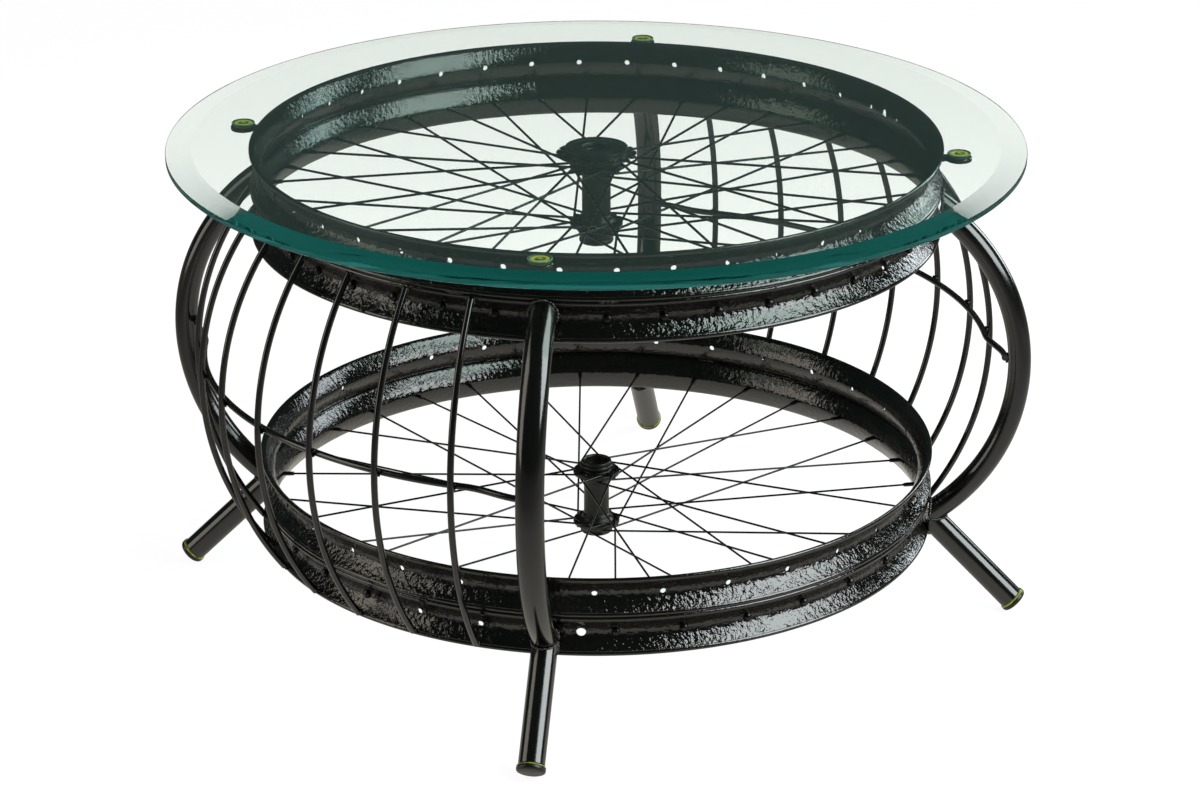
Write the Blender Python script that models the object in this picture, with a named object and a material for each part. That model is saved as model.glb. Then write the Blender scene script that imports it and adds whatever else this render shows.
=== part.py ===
"""Coffee table made from bicycle rims: two laced wheels, barrel legs, rod cages and a glass top.

The table stands on z = 0 and its middle axis is Z. Sizes are in metres and degrees.
The four legs stand on the X and Y axes, with the front leg at -Y.
"""
import math

import bmesh
import bpy
from mathutils import Matrix
from mathutils import Vector

# Clearance between pieces that are welded, laced or laid against each other, and round the turning ring
GAP = 0.0003
RUNNING_CLEARANCE = 0.0003

# Edges flatter than this are shaded smooth
SMOOTH_ANGLE = 35.0

# Glass top
GLASS_RADIUS = 0.400
GLASS_THICKNESS = 0.008
GLASS_BEVEL_WIDTH = 0.024
GLASS_BEVEL_DROP = 0.003
GLASS_SEGMENTS = 72

# Rims: a channel of rolled sheet, open outwards
RIM_RADIUS = 0.3235
RIM_WIDTH = 0.0375
RIM_EDGE_HEIGHT = 0.004
RIM_EDGE_THICKNESS = 0.0035
RIM_WELL_DEPTH = 0.011
RIM_WELL_FLOOR = 0.012
RIM_SHEET = 0.002
RIM_SEGMENTS = 64
LOWER_WHEEL_BOTTOM = 0.081
UPPER_WHEEL_BOTTOM = 0.3785

# Spokes and the holes for them
UPPER_SPOKE_COUNT = 40
UPPER_SPOKE_CROSSES = 4
UPPER_SPOKE_RADIUS = 0.0012
UPPER_SPOKE_PHASE = 18.8
UPPER_HOLE_PHASE = 2.31
LOWER_SPOKE_COUNT = 32
LOWER_SPOKE_CROSSES = 3
LOWER_SPOKE_RADIUS = 0.0010
LOWER_SPOKE_PHASE = 0.0
LOWER_HOLE_PHASE = 7.75
SPOKE_HOLE_RADIUS = 0.0027
SPOKE_HOLE_SIDES = 6
SPOKE_STAGGER = 0.0004
SPOKE_SIDES = 4

# Upper hub, a rear hub with a neck for the freewheel
UPPER_FLANGE_SPACING = 0.056
UPPER_FLANGE_RADIUS = 0.025
UPPER_FLANGE_HOLE_RADIUS = 0.0218
UPPER_BARREL_RADIUS = 0.0135
UPPER_HUB_END_RADIUS = 0.0165
UPPER_HUB_END_LENGTH = 0.0165
FREEWHEEL_NECK_RADIUS = 0.0172
FREEWHEEL_NECK_LENGTH = 0.0125
UPPER_HUB_OFFSET = 0.0012

# Lower hub, open at both bearing cups
LOWER_FLANGE_SPACING = 0.052
LOWER_FLANGE_RADIUS = 0.0225
LOWER_FLANGE_HOLE_RADIUS = 0.0192
LOWER_BARREL_RADIUS = 0.0122
LOWER_HUB_END_RADIUS = 0.0156
LOWER_HUB_END_LENGTH = 0.0088
LOWER_HUB_OFFSET = -0.0045

# Both hubs
FLANGE_THICKNESS = 0.0040
HUB_BORE_RADIUS = 0.0080
HUB_CUP_RADIUS = 0.0115
HUB_CUP_DEPTH = 0.0070
HUB_SEGMENTS = 24

# Freewheel: the core screws onto the hub, the toothed ring turns on the core
FREEWHEEL_SHOULDER_RADIUS = 0.0240
FREEWHEEL_SHOULDER_HEIGHT = 0.0040
FREEWHEEL_JOURNAL_RADIUS = 0.0205
FREEWHEEL_JOURNAL_HEIGHT = 0.0100
FREEWHEEL_LOCKRING_RADIUS = 0.0232
FREEWHEEL_LOCKRING_HEIGHT = 0.0028
FREEWHEEL_BORE_RADIUS = 0.0115
FREEWHEEL_SKIRT_RADIUS = 0.0262
FREEWHEEL_BODY_RADIUS = 0.0293
SPROCKET_TEETH = 17
SPROCKET_TIP_RADIUS = 0.0377
SPROCKET_ROOT_RADIUS = 0.0318
SPROCKET_THICKNESS = 0.0032
TOOTH_TIP_START = 0.38
TOOTH_TIP_END = 0.62
SPROCKET_RISE = 0.0052

# Legs: oval tubes bent to a circular arc between the two wheels, bulging out past the rims
LEG_BULGE = 0.07875
LEG_DEPTH = 0.0215
LEG_WIDTH = 0.0250
LEG_WALL = 0.0015
LEG_TOP_RISE = 0.007
LEG_BASE_DROP = 0.002
LEG_STEPS = 16
LEG_SIDES = 12
LEG_BORE_SIDES = 8

# Feet: straight tubes that lean out below the legs, with rubber plugs in their ends
FOOT_RADIUS = 0.012
FOOT_WALL = 0.0015
FOOT_LEAN = 45.0
FOOT_AXIS_DROP = 0.006
ELBOW_DROP = 0.005
PLUG_HEAD_RADIUS = 0.0133
PLUG_HEAD_LENGTH = 0.006
PLUG_STEM_LENGTH = 0.010
PLUG_FLAT_DEPTH = 0.001
TUBE_SIDES = 12

# Cages: bent rods in two opposite quarters, set back from the legs, and one level arc inside each cage
ROD_RADIUS = 0.003
ROD_SETBACK = 0.02325
ROD_COUNT = 7
ROD_END_INSET = 0.0035
ROD_STEPS = 12
ROD_SIDES = 6
ARC_HEIGHT = 0.259
ARC_FLARE_SHARE = 0.85
ARC_FLARE_STEPS = 4

# Pads under the glass, on tabs welded to the upper wheel
PAD_REACH = 0.014
PAD_RADIUS = 0.011
PAD_HEIGHT = 0.0034
PAD_DIMPLE_RADIUS = 0.0045
PAD_DIMPLE_DEPTH = 0.0012
PAD_DIMPLE_DRAFT = 0.0005
PAD_SEGMENTS = 16
TAB_RADIUS = 0.012
TAB_THICKNESS = 0.004
TAB_NECK_WIDTH = 0.010
TAB_EDGE_OVERLAP = 0.0012

SIDES = {"right": 0.0, "back": 90.0, "left": 180.0, "front": 270.0}
CAGES = {"back_right": 0.0, "front_left": 180.0}

# Radii and levels that follow from the sizes above
LEG_PEAK_RADIUS = RIM_RADIUS + LEG_BULGE
ROD_PEAK_RADIUS = LEG_PEAK_RADIUS - ROD_SETBACK
PAD_PITCH_RADIUS = RIM_RADIUS + PAD_REACH
LOWER_SPOKED_MIDDLE = LOWER_WHEEL_BOTTOM + RIM_WIDTH / 2
LOWER_TOP_MIDDLE = LOWER_SPOKED_MIDDLE + RIM_WIDTH + GAP
UPPER_SPOKED_MIDDLE = UPPER_WHEEL_BOTTOM + RIM_WIDTH / 2
UPPER_TOP_MIDDLE = UPPER_SPOKED_MIDDLE + RIM_WIDTH + GAP
UPPER_WHEEL_TOP = UPPER_TOP_MIDDLE + RIM_WIDTH / 2
UPPER_JOINT = UPPER_SPOKED_MIDDLE + RIM_WIDTH / 2 + GAP / 2
TAB_TOP = UPPER_WHEEL_TOP - RIM_EDGE_HEIGHT + TAB_EDGE_OVERLAP
PAD_BOTTOM = TAB_TOP + GAP
GLASS_BOTTOM = PAD_BOTTOM + PAD_HEIGHT + GAP
WELD_RADIUS = RIM_RADIUS + GAP
UPPER_HUB_MIDDLE = UPPER_SPOKED_MIDDLE + UPPER_HUB_OFFSET
LOWER_HUB_MIDDLE = LOWER_SPOKED_MIDDLE + LOWER_HUB_OFFSET


def clear_scene():
    for obj in list(bpy.data.objects):
        bpy.data.objects.remove(obj, do_unlink=True)


def finish(name, colour, roughness, metallic=0.0, transmission=0.0):
    material = bpy.data.materials.new(name)
    material.use_nodes = True
    shader = material.node_tree.nodes["Principled BSDF"]
    shader.inputs["Base Color"].default_value = (*colour, 1.0)
    shader.inputs["Roughness"].default_value = roughness
    shader.inputs["Metallic"].default_value = metallic
    shader.inputs["Transmission Weight"].default_value = transmission
    return material


def mesh_from(bm, name):
    bmesh.ops.remove_doubles(bm, verts=bm.verts, dist=1e-6)
    bmesh.ops.recalc_face_normals(bm, faces=bm.faces)
    mesh = bpy.data.meshes.new(name)
    bm.to_mesh(mesh)
    bm.free()
    return mesh


def add_object(name, mesh, material=None, turn=0.0, height=0.0):
    obj = bpy.data.objects.new(name, mesh)
    bpy.context.scene.collection.objects.link(obj)
    obj.location.z = height
    obj.rotation_euler.z = math.radians(turn)
    if material is not None and not mesh.materials:
        mesh.materials.append(material)
    mesh.shade_smooth()
    mesh.set_sharp_from_angle(angle=math.radians(SMOOTH_ANGLE))
    return obj


def lathe(name, outline, segments):
    """Turn a closed outline of (radius, height) points about Z."""
    bm = bmesh.new()
    points = [bm.verts.new((radius, 0.0, height)) for radius, height in outline]
    edges = [bm.edges.new((a, b)) for a, b in zip(points, points[1:] + points[:1])]
    bmesh.ops.spin(
        bm, geom=points + edges, cent=(0, 0, 0), axis=(0, 0, 1),
        angle=2 * math.pi, steps=segments, use_merge=True,
    )
    return mesh_from(bm, name)


def extrude_outline(name, outline, bottom, top):
    """Raise a flat outline of (x, y) points into a plate."""
    bm = bmesh.new()
    face = bm.faces.new([bm.verts.new((x, y, bottom)) for x, y in outline])
    raised = bmesh.ops.extrude_face_region(bm, geom=[face])["geom"]
    moved = [item for item in raised if isinstance(item, bmesh.types.BMVert)]
    bmesh.ops.translate(bm, verts=moved, vec=(0, 0, top - bottom))
    return mesh_from(bm, name)


def block(low, high):
    """Hidden box between two corners, for cutting."""
    bm = bmesh.new()
    size = [b - a for a, b in zip(low, high)]
    middle = [(a + b) / 2 for a, b in zip(low, high)]
    place = Matrix.Translation(middle) @ Matrix.Diagonal((*size, 1.0))
    bmesh.ops.create_cube(bm, size=1.0, matrix=place)
    return add_object("cutter", mesh_from(bm, "cutter"))


def rod_between(bm, start, end, radius, sides):
    """Add a straight closed rod to the mesh being built."""
    start = Vector(start)
    end = Vector(end)
    axis = end - start
    turn = axis.to_track_quat("Z", "X").to_matrix().to_4x4()
    place = Matrix.Translation((start + end) / 2) @ turn
    bmesh.ops.create_cone(
        bm, cap_ends=True, segments=sides, radius1=radius, radius2=radius,
        depth=axis.length, matrix=place,
    )


def combine(obj, others, operation):
    """Join or cut an object with others, and keep the result as its mesh."""
    for other in others:
        modifier = obj.modifiers.new("combine", "BOOLEAN")
        modifier.operation = operation
        modifier.solver = "EXACT"
        modifier.object = other
    bpy.context.view_layer.update()
    graph = bpy.context.evaluated_depsgraph_get()
    mesh = bpy.data.meshes.new_from_object(obj.evaluated_get(graph))
    obj.modifiers.clear()
    obj.data = mesh
    mesh.name = obj.name
    for other in others:
        bpy.data.objects.remove(other, do_unlink=True)
    mesh.shade_smooth()
    mesh.set_sharp_from_angle(angle=math.radians(SMOOTH_ANGLE))
    return obj


class Bow:
    """Circular arc in the (radius, height) plane that bulges out between two heights at the rims."""

    def __init__(self, low, high, peak, steps, overrun):
        half = (high - low) / 2
        rise = peak - WELD_RADIUS
        self.bend = (half ** 2 + rise ** 2) / (2 * rise)
        self.centre = Vector((peak - self.bend, 0.0, (low + high) / 2))
        self.steps = steps
        self.step = 2 * (math.asin(half / self.bend) + overrun / self.bend) / steps

    def sweep(self, depth, width, sides, spare=0):
        """Solid oval bar along the arc, made longer by whole spare steps at both ends."""
        steps = self.steps + 2 * spare
        reach = self.step * steps / 2
        bm = bmesh.new()
        ring = []
        for k in range(sides):
            angle = 2 * math.pi * k / sides
            x = self.bend + depth / 2 * math.cos(angle)
            ring.append(bm.verts.new((x, width / 2 * math.sin(angle), 0.0)))
        face = bm.faces.new(ring)
        bmesh.ops.rotate(bm, verts=bm.verts, cent=(0, 0, 0), matrix=Matrix.Rotation(reach, 3, "Y"))
        bmesh.ops.translate(bm, verts=bm.verts, vec=self.centre)
        bmesh.ops.spin(
            bm, geom=[face], cent=self.centre, axis=(0, -1, 0), angle=2 * reach, steps=steps,
        )
        return mesh_from(bm, "bow")

    def radius_at(self, height):
        """Radius of the bar's middle line at a height, on its straight facets."""
        turns = [self.step * (k - self.steps / 2) for k in range(self.steps + 1)]
        radii = [self.centre.x + self.bend * math.cos(turn) for turn in turns]
        heights = [self.centre.z + self.bend * math.sin(turn) for turn in turns]
        line = list(zip(radii, heights))
        for (low_radius, low), (high_radius, high) in zip(line, line[1:]):
            if low <= height <= high:
                return low_radius + (high_radius - low_radius) * (height - low) / (high - low)
        raise ValueError("height is outside the bow")


def rim_outline():
    """Half-open channel, from the outer edge of the top flange round to its inner edge."""
    half = RIM_WIDTH / 2
    floor = RIM_RADIUS - RIM_WELL_DEPTH
    upper = [
        (RIM_RADIUS, half),
        (RIM_RADIUS, half - RIM_EDGE_HEIGHT),
        (floor, RIM_WELL_FLOOR / 2),
    ]
    inner = [
        (floor - RIM_SHEET, RIM_WELL_FLOOR / 2),
        (RIM_RADIUS - RIM_EDGE_THICKNESS, half),
    ]
    lower = [(radius, -height) for radius, height in reversed(upper)]
    inner_lower = [(radius, -height) for radius, height in reversed(inner)]
    return upper + lower + inner_lower + inner


def add_rim(name, material, height, hole_count=0, hole_phase=0.0):
    rim = add_object(name, lathe(name, rim_outline(), RIM_SEGMENTS), material, height=height)
    if hole_count:
        floor = RIM_RADIUS - RIM_WELL_DEPTH
        bm = bmesh.new()
        for k in range(hole_count):
            turn = math.radians(hole_phase + 360.0 * k / hole_count)
            ray = Vector((math.cos(turn), math.sin(turn), 0.0))
            inside = ray * (floor - 2 * RIM_SHEET)
            rod_between(bm, inside, ray * (floor + RIM_SHEET), SPOKE_HOLE_RADIUS, SPOKE_HOLE_SIDES)
        punch = add_object("cutter", mesh_from(bm, "cutter"), height=height)
        combine(rim, [punch], "DIFFERENCE")
    return rim


def add_spokes(name, material, count, first, phase, crosses, radius, flange, rim_height):
    """Lace one flange to its rim: leading and trailing spokes, joined where they cross."""
    flange_radius, hole_radius, flange_height = flange
    facet = math.cos(math.pi / RIM_SEGMENTS)
    rim_end = (RIM_RADIUS - RIM_WELL_DEPTH - RIM_SHEET) * facet - GAP
    per_flange = count // 2
    lean = 2 * math.pi * crosses / per_flange
    sets = []
    for direction, start in ((1, first), (-1, first + 2)):
        bm = bmesh.new()
        for k in range(start, start + count, 4):
            turn = math.radians(phase) + 2 * math.pi * k / count
            outer = Vector((rim_end * math.cos(turn), rim_end * math.sin(turn), rim_height))
            hub_turn = turn + direction * lean
            hole_height = flange_height + direction * SPOKE_STAGGER
            hole = Vector((hole_radius * math.cos(hub_turn), hole_radius * math.sin(hub_turn), hole_height))
            ray = (hole - outer).normalized()
            flat = Vector((ray.x, ray.y)).normalized()
            offset = abs(outer.x * flat.y - outer.y * flat.x)
            clear = math.sqrt((flange_radius + GAP) ** 2 - (offset - radius) ** 2)
            run = -(outer.x * flat.x + outer.y * flat.y) - clear
            inner = outer + ray * (run / Vector((ray.x, ray.y)).length)
            rod_between(bm, outer, inner, radius, SPOKE_SIDES)
        sets.append(add_object(name, mesh_from(bm, name), material))
    return combine(sets[0], [sets[1]], "UNION")


def hub_outline(middle, spacing, flange_radius, barrel_radius, end_radius, end_length, neck=None):
    """Hub shell from the top outer edge down the outside, and back up through the bore."""
    half_flange = FLANGE_THICKNESS / 2
    top_flange = middle + spacing / 2
    low_flange = middle - spacing / 2
    bottom = low_flange - half_flange - end_length
    neck_radius, neck_length = neck or (end_radius, end_length)
    top = top_flange + half_flange + neck_length
    fillet = FLANGE_THICKNESS
    return [
        (neck_radius, top),
        (neck_radius, top_flange + half_flange),
        (flange_radius, top_flange + half_flange),
        (flange_radius, top_flange - half_flange),
        (barrel_radius + fillet, top_flange - half_flange),
        (barrel_radius, top_flange - half_flange - fillet),
        (barrel_radius, low_flange + half_flange + fillet),
        (barrel_radius + fillet, low_flange + half_flange),
        (flange_radius, low_flange + half_flange),
        (flange_radius, low_flange - half_flange),
        (end_radius, low_flange - half_flange),
        (end_radius, bottom),
        (HUB_CUP_RADIUS, bottom),
        (HUB_CUP_RADIUS, bottom + HUB_CUP_DEPTH),
        (HUB_BORE_RADIUS, bottom + HUB_CUP_DEPTH),
        (HUB_BORE_RADIUS, top - HUB_CUP_DEPTH),
        (HUB_CUP_RADIUS, top - HUB_CUP_DEPTH),
        (HUB_CUP_RADIUS, top),
    ]


def add_freewheel(hub_material, ring_material):
    """Core on the hub's neck, and the toothed ring held between its shoulder and lockring."""
    bottom = UPPER_HUB_MIDDLE + UPPER_FLANGE_SPACING / 2 + FLANGE_THICKNESS / 2 + GAP
    shoulder = bottom + FREEWHEEL_SHOULDER_HEIGHT
    lockring = shoulder + FREEWHEEL_JOURNAL_HEIGHT
    top = lockring + FREEWHEEL_LOCKRING_HEIGHT
    seat = bottom + FREEWHEEL_NECK_LENGTH
    thread = FREEWHEEL_NECK_RADIUS + GAP
    core = [
        (FREEWHEEL_LOCKRING_RADIUS, top),
        (FREEWHEEL_LOCKRING_RADIUS, lockring),
        (FREEWHEEL_JOURNAL_RADIUS, lockring),
        (FREEWHEEL_JOURNAL_RADIUS, shoulder),
        (FREEWHEEL_SHOULDER_RADIUS, shoulder),
        (FREEWHEEL_SHOULDER_RADIUS, bottom),
        (thread, bottom),
        (thread, seat),
        (FREEWHEEL_BORE_RADIUS, seat),
        (FREEWHEEL_BORE_RADIUS, top),
    ]
    add_object("freewheel_core", lathe("freewheel_core", core, HUB_SEGMENTS), hub_material)

    ring_low = shoulder + RUNNING_CLEARANCE
    ring_high = lockring - RUNNING_CLEARANCE
    bore = FREEWHEEL_JOURNAL_RADIUS + RUNNING_CLEARANCE
    recess = FREEWHEEL_LOCKRING_RADIUS + RUNNING_CLEARANCE
    teeth_low = ring_low + SPROCKET_RISE
    teeth_high = teeth_low + SPROCKET_THICKNESS
    levels = [
        (bore, ring_low),
        (FREEWHEEL_SKIRT_RADIUS, ring_low),
        (FREEWHEEL_SKIRT_RADIUS, teeth_low),
        (SPROCKET_TIP_RADIUS, teeth_low),
        (SPROCKET_TIP_RADIUS, teeth_high),
        (FREEWHEEL_BODY_RADIUS, teeth_high),
        (FREEWHEEL_BODY_RADIUS, top),
        (recess, top),
        (recess, ring_high),
        (bore, ring_high),
    ]
    bm = bmesh.new()
    rings = [toothed_ring(bm, radius, height) for radius, height in levels]
    for lower, upper in zip(rings, rings[1:] + rings[:1]):
        for k in range(len(lower)):
            after = (k + 1) % len(lower)
            bm.faces.new((lower[k], lower[after], upper[after], upper[k]))
    add_object("freewheel_sprocket", mesh_from(bm, "freewheel_sprocket"), ring_material)


def toothed_ring(bm, radius, height):
    """Ring of points, three to a tooth: the tips stand out only on the sprocket's own levels."""
    points = []
    for tooth in range(SPROCKET_TEETH):
        for share, is_root in ((0.0, True), (TOOTH_TIP_START, False), (TOOTH_TIP_END, False)):
            turn = 2 * math.pi * (tooth + share) / SPROCKET_TEETH
            reach = SPROCKET_ROOT_RADIUS if is_root and radius > SPROCKET_ROOT_RADIUS else radius
            points.append(bm.verts.new((reach * math.cos(turn), reach * math.sin(turn), height)))
    return points


def leg_bow():
    low = LOWER_SPOKED_MIDDLE - LEG_BASE_DROP
    high = UPPER_SPOKED_MIDDLE + LEG_TOP_RISE
    return Bow(low, high, LEG_PEAK_RADIUS, LEG_STEPS, LEG_DEPTH)


def rod_bow():
    low = LOWER_WHEEL_BOTTOM + ROD_END_INSET
    high = UPPER_JOINT - ROD_END_INSET
    return Bow(low, high, ROD_PEAK_RADIUS, ROD_STEPS, 4 * ROD_RADIUS)


def add_legs(material):
    bow = leg_bow()
    leg = add_object("leg", bow.sweep(LEG_DEPTH, LEG_WIDTH, LEG_SIDES), material)
    hollow = bow.sweep(LEG_DEPTH - 2 * LEG_WALL, LEG_WIDTH - 2 * LEG_WALL, LEG_BORE_SIDES, spare=1)
    elbow = LOWER_SPOKED_MIDDLE - ELBOW_DROP + GAP / 2
    cutters = [
        add_object("cutter", hollow),
        block((0.0, -LEG_WIDTH, 0.0), (WELD_RADIUS, LEG_WIDTH, GLASS_BOTTOM)),
        block((0.0, -LEG_WIDTH, -LEG_WIDTH), (LEG_PEAK_RADIUS, LEG_WIDTH, elbow)),
    ]
    combine(leg, cutters, "DIFFERENCE")
    place_copies(leg, "leg")


def place_copies(first, stem):
    """One object for each side of the table, all sharing the first one's mesh."""
    for side, turn in SIDES.items():
        add_object(stem + "_" + side, first.data, turn=turn)
    bpy.data.objects.remove(first, do_unlink=True)


def add_feet(tube_material, rubber_material):
    lean = math.radians(FOOT_LEAN)
    down = Vector((math.sin(lean), 0.0, -math.cos(lean)))
    start = Vector((WELD_RADIUS, 0.0, LOWER_SPOKED_MIDDLE - FOOT_AXIS_DROP))
    end_height = PLUG_HEAD_RADIUS * math.sin(lean) - PLUG_FLAT_DEPTH
    end = start + down * ((start.z - end_height) / math.cos(lean))
    tube_end = end - down * (PLUG_HEAD_LENGTH + GAP)
    behind = start - down * (4 * FOOT_RADIUS)
    wide = 4 * FOOT_RADIUS
    elbow = LOWER_SPOKED_MIDDLE - ELBOW_DROP - GAP / 2

    bm = bmesh.new()
    rod_between(bm, behind, tube_end, FOOT_RADIUS, TUBE_SIDES)
    foot = add_object("foot", mesh_from(bm, "foot"), tube_material)
    bm = bmesh.new()
    rod_between(bm, behind - down * FOOT_RADIUS, end, FOOT_RADIUS - FOOT_WALL, TUBE_SIDES)
    cutters = [
        add_object("cutter", mesh_from(bm, "cutter")),
        block((0.0, -wide, -wide), (WELD_RADIUS, wide, 2 * start.z)),
        block((0.0, -wide, elbow), (2 * RIM_RADIUS, wide, 4 * start.z)),
    ]
    combine(foot, cutters, "DIFFERENCE")
    place_copies(foot, "foot")

    head_back = end - down * PLUG_HEAD_LENGTH
    stem_end = head_back - down * PLUG_STEM_LENGTH
    bm = bmesh.new()
    rod_between(bm, head_back, end, PLUG_HEAD_RADIUS, TUBE_SIDES)
    plug = add_object("foot_plug", mesh_from(bm, "foot_plug"), rubber_material)
    bm = bmesh.new()
    rod_between(bm, stem_end, (head_back + end) / 2, FOOT_RADIUS - FOOT_WALL - GAP, TUBE_SIDES)
    combine(plug, [add_object("cutter", mesh_from(bm, "cutter"))], "UNION")
    floor = block((0.0, -wide, -wide), (2 * RIM_RADIUS, wide, 0.0))
    combine(plug, [floor], "DIFFERENCE")
    place_copies(plug, "foot_plug")


def add_cages(material):
    bow = rod_bow()
    rod = add_object("rod", bow.sweep(2 * ROD_RADIUS, 2 * ROD_RADIUS, ROD_SIDES), material)
    wide = 2 * ROD_RADIUS
    combine(rod, [block((0.0, -wide, 0.0), (WELD_RADIUS, wide, GLASS_BOTTOM))], "DIFFERENCE")
    pitch = 90.0 / (ROD_COUNT + 1)
    for cage, first in CAGES.items():
        for k in range(ROD_COUNT):
            add_object("rod_%s_%d" % (cage, k + 1), rod.data, turn=first + pitch * (k + 1))
        add_arc(cage, material, first, pitch)
    bpy.data.objects.remove(rod, do_unlink=True)


def add_arc(cage, material, first, pitch):
    """Level rod inside the cage, which flares out to the legs at both ends."""
    inside = rod_bow().radius_at(ARC_HEIGHT) - 2 * ROD_RADIUS - GAP
    seat = leg_bow().radius_at(ARC_HEIGHT) - LEG_DEPTH / 2 - ROD_RADIUS - GAP
    end_turn = math.degrees(ROD_RADIUS / seat)
    flare = pitch * ARC_FLARE_SHARE
    curve = bpy.data.curves.new("arc_" + cage, "CURVE")
    curve.dimensions = "3D"
    curve.bevel_depth = ROD_RADIUS
    curve.bevel_resolution = 2
    curve.use_fill_caps = True
    curve.materials.append(material)
    opening = [end_turn + (flare - end_turn) * k / ARC_FLARE_STEPS for k in range(ARC_FLARE_STEPS + 1)]
    closing = [90.0 - turn for turn in reversed(opening)]
    along = [pitch * (1 + k / 2) for k in range(2 * ROD_COUNT - 1)]
    turns = opening + along + closing
    spline = curve.splines.new("POLY")
    spline.points.add(len(turns) - 1)
    for turn, point in zip(turns, spline.points):
        from_leg = min(turn, 90.0 - turn)
        share = min(1.0, max(0.0, (flare - from_leg) / (flare - end_turn)))
        ease = (1 - math.cos(math.pi * share)) / 2
        radius = inside + (seat - inside) * ease
        angle = math.radians(first + turn)
        point.co = (radius * math.cos(angle), radius * math.sin(angle), ARC_HEIGHT, 1.0)
    arc = bpy.data.objects.new("arc_" + cage, curve)
    bpy.context.scene.collection.objects.link(arc)


def add_pads(tab_material, pad_material):
    neck = math.asin(TAB_NECK_WIDTH / 2 / TAB_RADIUS)
    sweep = 2 * (math.pi - neck)
    outline = [(WELD_RADIUS, -TAB_NECK_WIDTH / 2)]
    for k in range(PAD_SEGMENTS):
        angle = -math.pi + neck + sweep * k / (PAD_SEGMENTS - 1)
        outline.append((PAD_PITCH_RADIUS + TAB_RADIUS * math.cos(angle), TAB_RADIUS * math.sin(angle)))
    outline.append((WELD_RADIUS, TAB_NECK_WIDTH / 2))
    tab = extrude_outline("pad_tab", outline, TAB_TOP - TAB_THICKNESS, TAB_TOP)
    place_copies(add_object("pad_tab", tab, tab_material), "pad_tab")

    bm = bmesh.new()
    disc = Matrix.Translation((PAD_PITCH_RADIUS, 0.0, PAD_BOTTOM))
    base = bmesh.ops.create_circle(bm, cap_ends=True, segments=PAD_SEGMENTS, radius=PAD_RADIUS, matrix=disc)
    face = base["verts"][0].link_faces[0]
    raised = bmesh.ops.extrude_face_region(bm, geom=[face])["geom"]
    moved = [item for item in raised if isinstance(item, bmesh.types.BMVert)]
    bmesh.ops.translate(bm, verts=moved, vec=(0, 0, PAD_HEIGHT))
    upper = next(item for item in raised if isinstance(item, bmesh.types.BMFace))
    bmesh.ops.inset_region(bm, faces=[upper], thickness=PAD_RADIUS - PAD_DIMPLE_RADIUS)
    bmesh.ops.inset_region(bm, faces=[upper], thickness=PAD_DIMPLE_DRAFT)
    bmesh.ops.translate(bm, verts=upper.verts, vec=(0, 0, -PAD_DIMPLE_DEPTH))
    place_copies(add_object("glass_pad", mesh_from(bm, "glass_pad"), pad_material), "glass_pad")


def add_glass(material):
    """Disc with a ground bevel round its upper edge."""
    bm = bmesh.new()
    base = bmesh.ops.create_circle(bm, cap_ends=True, segments=GLASS_SEGMENTS, radius=GLASS_RADIUS)
    face = base["verts"][0].link_faces[0]
    raised = bmesh.ops.extrude_face_region(bm, geom=[face])["geom"]
    moved = [item for item in raised if isinstance(item, bmesh.types.BMVert)]
    bmesh.ops.translate(bm, verts=moved, vec=(0, 0, GLASS_THICKNESS - GLASS_BEVEL_DROP))
    upper = next(item for item in raised if isinstance(item, bmesh.types.BMFace))
    bmesh.ops.inset_region(bm, faces=[upper], thickness=GLASS_BEVEL_WIDTH)
    bmesh.ops.translate(bm, verts=upper.verts, vec=(0, 0, GLASS_BEVEL_DROP))
    add_object("glass_top", mesh_from(bm, "glass_top"), material, height=GLASS_BOTTOM)


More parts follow.
